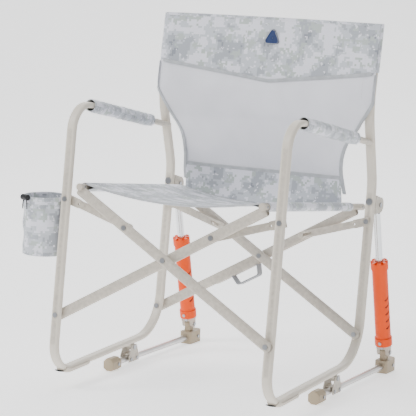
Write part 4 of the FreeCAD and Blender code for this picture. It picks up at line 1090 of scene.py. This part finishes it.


# ---------------------------------------------------------------- painted shade in the slots of the shock barrels
SHOCK_FOOT = (606.5, 52.0)
SHOCK_TOP = (519.0, 436.0)
BARREL_RADIUS = 19.5
SLOT_COUNT = 5
SLOT_FIRST = 74.0                       # along the barrel
SLOT_PITCH = 19.0
SLOT_TILT_DEGREES = 28.0
SLOT_TURN_DEGREES = -6.0
SLOT_REACH = 11.0                       # half of a slot's length
SLOT_HALF_HEIGHT = 1.9
SHADE_PLATE_DEPTH = 3.5


def slot_shade_plates(side_name, side):
    """Dark plates at the bottom of each slanted slot of a barrel: painted shade of the hollow inside."""
    bm = bmesh.new()
    layer = bm.loops.layers.uv.new("cloth")
    lean = math.atan2(SHOCK_FOOT[0] - SHOCK_TOP[0], SHOCK_TOP[1] - SHOCK_FOOT[1])
    place = (Matrix.Translation(row_point(side * HALF_WIDTH / MM, *SHOCK_FOOT))
             @ Matrix.Rotation(lean, 4, "X") @ Matrix.Rotation(math.radians(SLOT_TURN_DEGREES), 4, "Z"))
    for index in range(SLOT_COUNT):
        rise = Matrix.Translation(Vector((0, 0, (SLOT_FIRST + SLOT_PITCH * index) * MM)))
        tilt = Matrix.Rotation(math.radians(SLOT_TILT_DEGREES), 4, "X")
        ring = []
        for k in range(9):
            y = (-SLOT_REACH + 2 * SLOT_REACH * k / 8) * MM
            x = (BARREL_RADIUS - SHADE_PLATE_DEPTH) * MM + 1.6 * MM * (1 - (y / (SLOT_REACH * MM)) ** 2)
            ring.append([bm.verts.new(place @ rise @ tilt @ Vector((x, y, z * MM)))
                         for z in (-SLOT_HALF_HEIGHT, SLOT_HALF_HEIGHT)])
        for first, second in zip(ring, ring[1:]):
            face = bm.faces.new((first[0], second[0], second[1], first[1]))
            for loop in face.loops:
                loop[layer].uv = (loop.vert.co.y, loop.vert.co.z)
    # the dark plates are painted shade in the slots, coloured with the black foam material
    piece = built_piece("slot_shade_plates_" + side_name, bm, FOAM)
    solid = piece.modifiers.new("thickness", "SOLIDIFY")
    solid.thickness = 0.3 * MM
    apply_modifiers(piece)
    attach(piece, "barrel_" + side_name)


# ---------------------------------------------------------------- painted shade in the mouths of the foot pads
FRONT_BEND = 62.0
TUBE_DEPTH = 14.0
RUNNER_RISE = 2.4                       # degrees
FRONT_FOOT = (-51.0, 44.0)              # depth in the fold frame, height


def pad_gap_shade(side_name, side):
    """Dark flattened blob in the gap between the front bend and the lip of its glide: painted shade."""
    corner_y = (FRONT_FOOT[0] + FRONT_FOOT[1] * math.sin(LEAN)) / math.cos(LEAN)
    half_turn = math.radians(90 - LEAN_DEGREES + RUNNER_RISE) / 2
    inward = math.radians(RUNNER_RISE) + half_turn
    reach = FRONT_BEND / math.sin(half_turn)
    centre_y = corner_y + reach * math.cos(inward)
    centre_z = FRONT_FOOT[1] + reach * math.sin(inward)
    turn = math.radians(243.0)
    radial = Vector((0, math.cos(turn), math.sin(turn)))
    tangent = Vector((0, -math.sin(turn), math.cos(turn)))
    centre = (row_point(side * HALF_WIDTH / MM, centre_y, centre_z)
              + radial * (FRONT_BEND + TUBE_DEPTH / 2 + 2.1) * MM)
    bm = bmesh.new()
    bmesh.ops.create_uvsphere(bm, u_segments=24, v_segments=12, radius=1.0)
    for vertex in bm.verts:
        place = vertex.co.copy()
        bow = (1 - place.x ** 2) * 0.6
        vertex.co = (centre + Vector((1, 0, 0)) * place.x * 13.5 * MM + radial * (place.y * 2.3 + bow) * MM
                     + tangent * place.z * 1.2 * MM)
    # a black blob stands in for the shade inside the glide's mouth
    piece = built_piece("pad_gap_shade_" + side_name, bm, FOAM)
    piece.data.shade_smooth()
    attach(piece, "side_" + side_name)


# ---------------------------------------------------------------- small rivets
def rail_rivets():
    """Domed rivets through the rail ends."""
    for side_name, side in SIDES.items():
        for end_name, u in (("front", -52.0), ("rear", 462.0)):
            bm = bmesh.new()
            bmesh.ops.create_uvsphere(bm, u_segments=16, v_segments=10, radius=3.4 * MM)
            bmesh.ops.scale(bm, vec=(0.4, 1, 1), verts=bm.verts)
            piece = built_piece("rail_rivet_%s_%s" % (end_name, side_name), bm, ZINC)
            piece.data.shade_smooth()
            piece.matrix_world = Matrix.Translation(fold_point(side * RAIL_X + 8.3, u, RAIL_V))
            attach(piece, "cross_a" if side < 0 else "cross_b")


# ---------------------------------------------------------------- studio
FLOOR_SECTION = [(-6, 0), (-2, 0), (0, 0), (2, 0), (3.2, 0.02), (4.0, 0.25), (4.6, 0.9), (4.9, 2.0),
                 (5.0, 4.5)]
FLOOR_SPREAD = (-9, -3, 0, 3, 9)
LIGHTS = (("key", (-2.2, -2.6, 3.4), 1.5, 135), ("fill", (3.4, -2.0, 2.2), 2.4, 24),
          ("top", (0.0, 0.3, 3.8), 2.6, 60), ("back", (-1.2, 3.0, 2.6), 2.4, 40))


def studio():
    """Pale floor, a backdrop that hides the chair from a camera behind it, and soft lights."""
    rows = []
    cloth = []
    direction = Vector((-math.sin(CAMERA_AZIMUTH), math.cos(CAMERA_AZIMUTH), 0))
    side = Vector((direction.y, -direction.x, 0))
    for distance, height in FLOOR_SECTION:
        rows.append([direction * distance + side * k + Vector((0, 0, height)) for k in FLOOR_SPREAD])
        cloth.append([(k, distance) for k in FLOOR_SPREAD])
    floor = grid_piece("studio_floor", rows, floor_material(), cloth, levels=2)

    for name, place, size, power in LIGHTS:
        light = bpy.data.lights.new(name, "AREA")
        light.size = size
        light.energy = power
        holder = add_object(name, light)
        holder.location = place
        aim = Vector((0, 0, 0.35)) - Vector(place)
        holder.rotation_euler = aim.to_track_quat("-Z", "Y").to_euler()

    world = bpy.data.worlds.new("studio air")
    world.use_nodes = True
    set_inputs(world.node_tree.nodes["Background"], Color=(0.95, 0.97, 1.0, 1), Strength=0.42)
    bpy.context.scene.world = world


CAMERA_AZIMUTH = math.radians(28.856)
CAMERA_ELEVATION = math.radians(8.649)
CAMERA_ROLL = math.radians(1.665)
CAMERA_PLACE = Vector((2.18832, -4.00063, 1.11433))
CAMERA_LENS = 164.54
SENSOR_WIDTH = 36.0


def camera():
    """Camera low to the right of the chair's front, with a long lens."""
    a, e, r = CAMERA_AZIMUTH, CAMERA_ELEVATION, CAMERA_ROLL
    back = Vector((math.sin(a) * math.cos(e), -math.cos(a) * math.cos(e), math.sin(e)))
    level = Vector((math.cos(a), math.sin(a), 0))
    up = back.cross(level)
    right = level * math.cos(r) + up * math.sin(r)
    top = up * math.cos(r) - level * math.sin(r)
    lens = bpy.data.cameras.new("camera")
    lens.lens = CAMERA_LENS
    lens.sensor_width = SENSOR_WIDTH
    holder = add_object("camera", lens)
    turn = Matrix((right, top, back)).transposed().to_4x4()
    holder.matrix_world = Matrix.Translation(CAMERA_PLACE) @ turn
    bpy.context.scene.camera = holder


# ---------------------------------------------------------------- assembly
finish_cad_nodes()
seat = seat_sling()
crossing(seat)
seat_trim()
back_sling()
for name, sign in SIDES.items():
    post_sleeve(name, sign)
    arm_pad(name)
    slot_shade_plates(name, sign)
    pad_gap_shade(name, sign)
patch()
cup_pouch()
drawcord_ends()
rail_rivets()
studio()
camera()
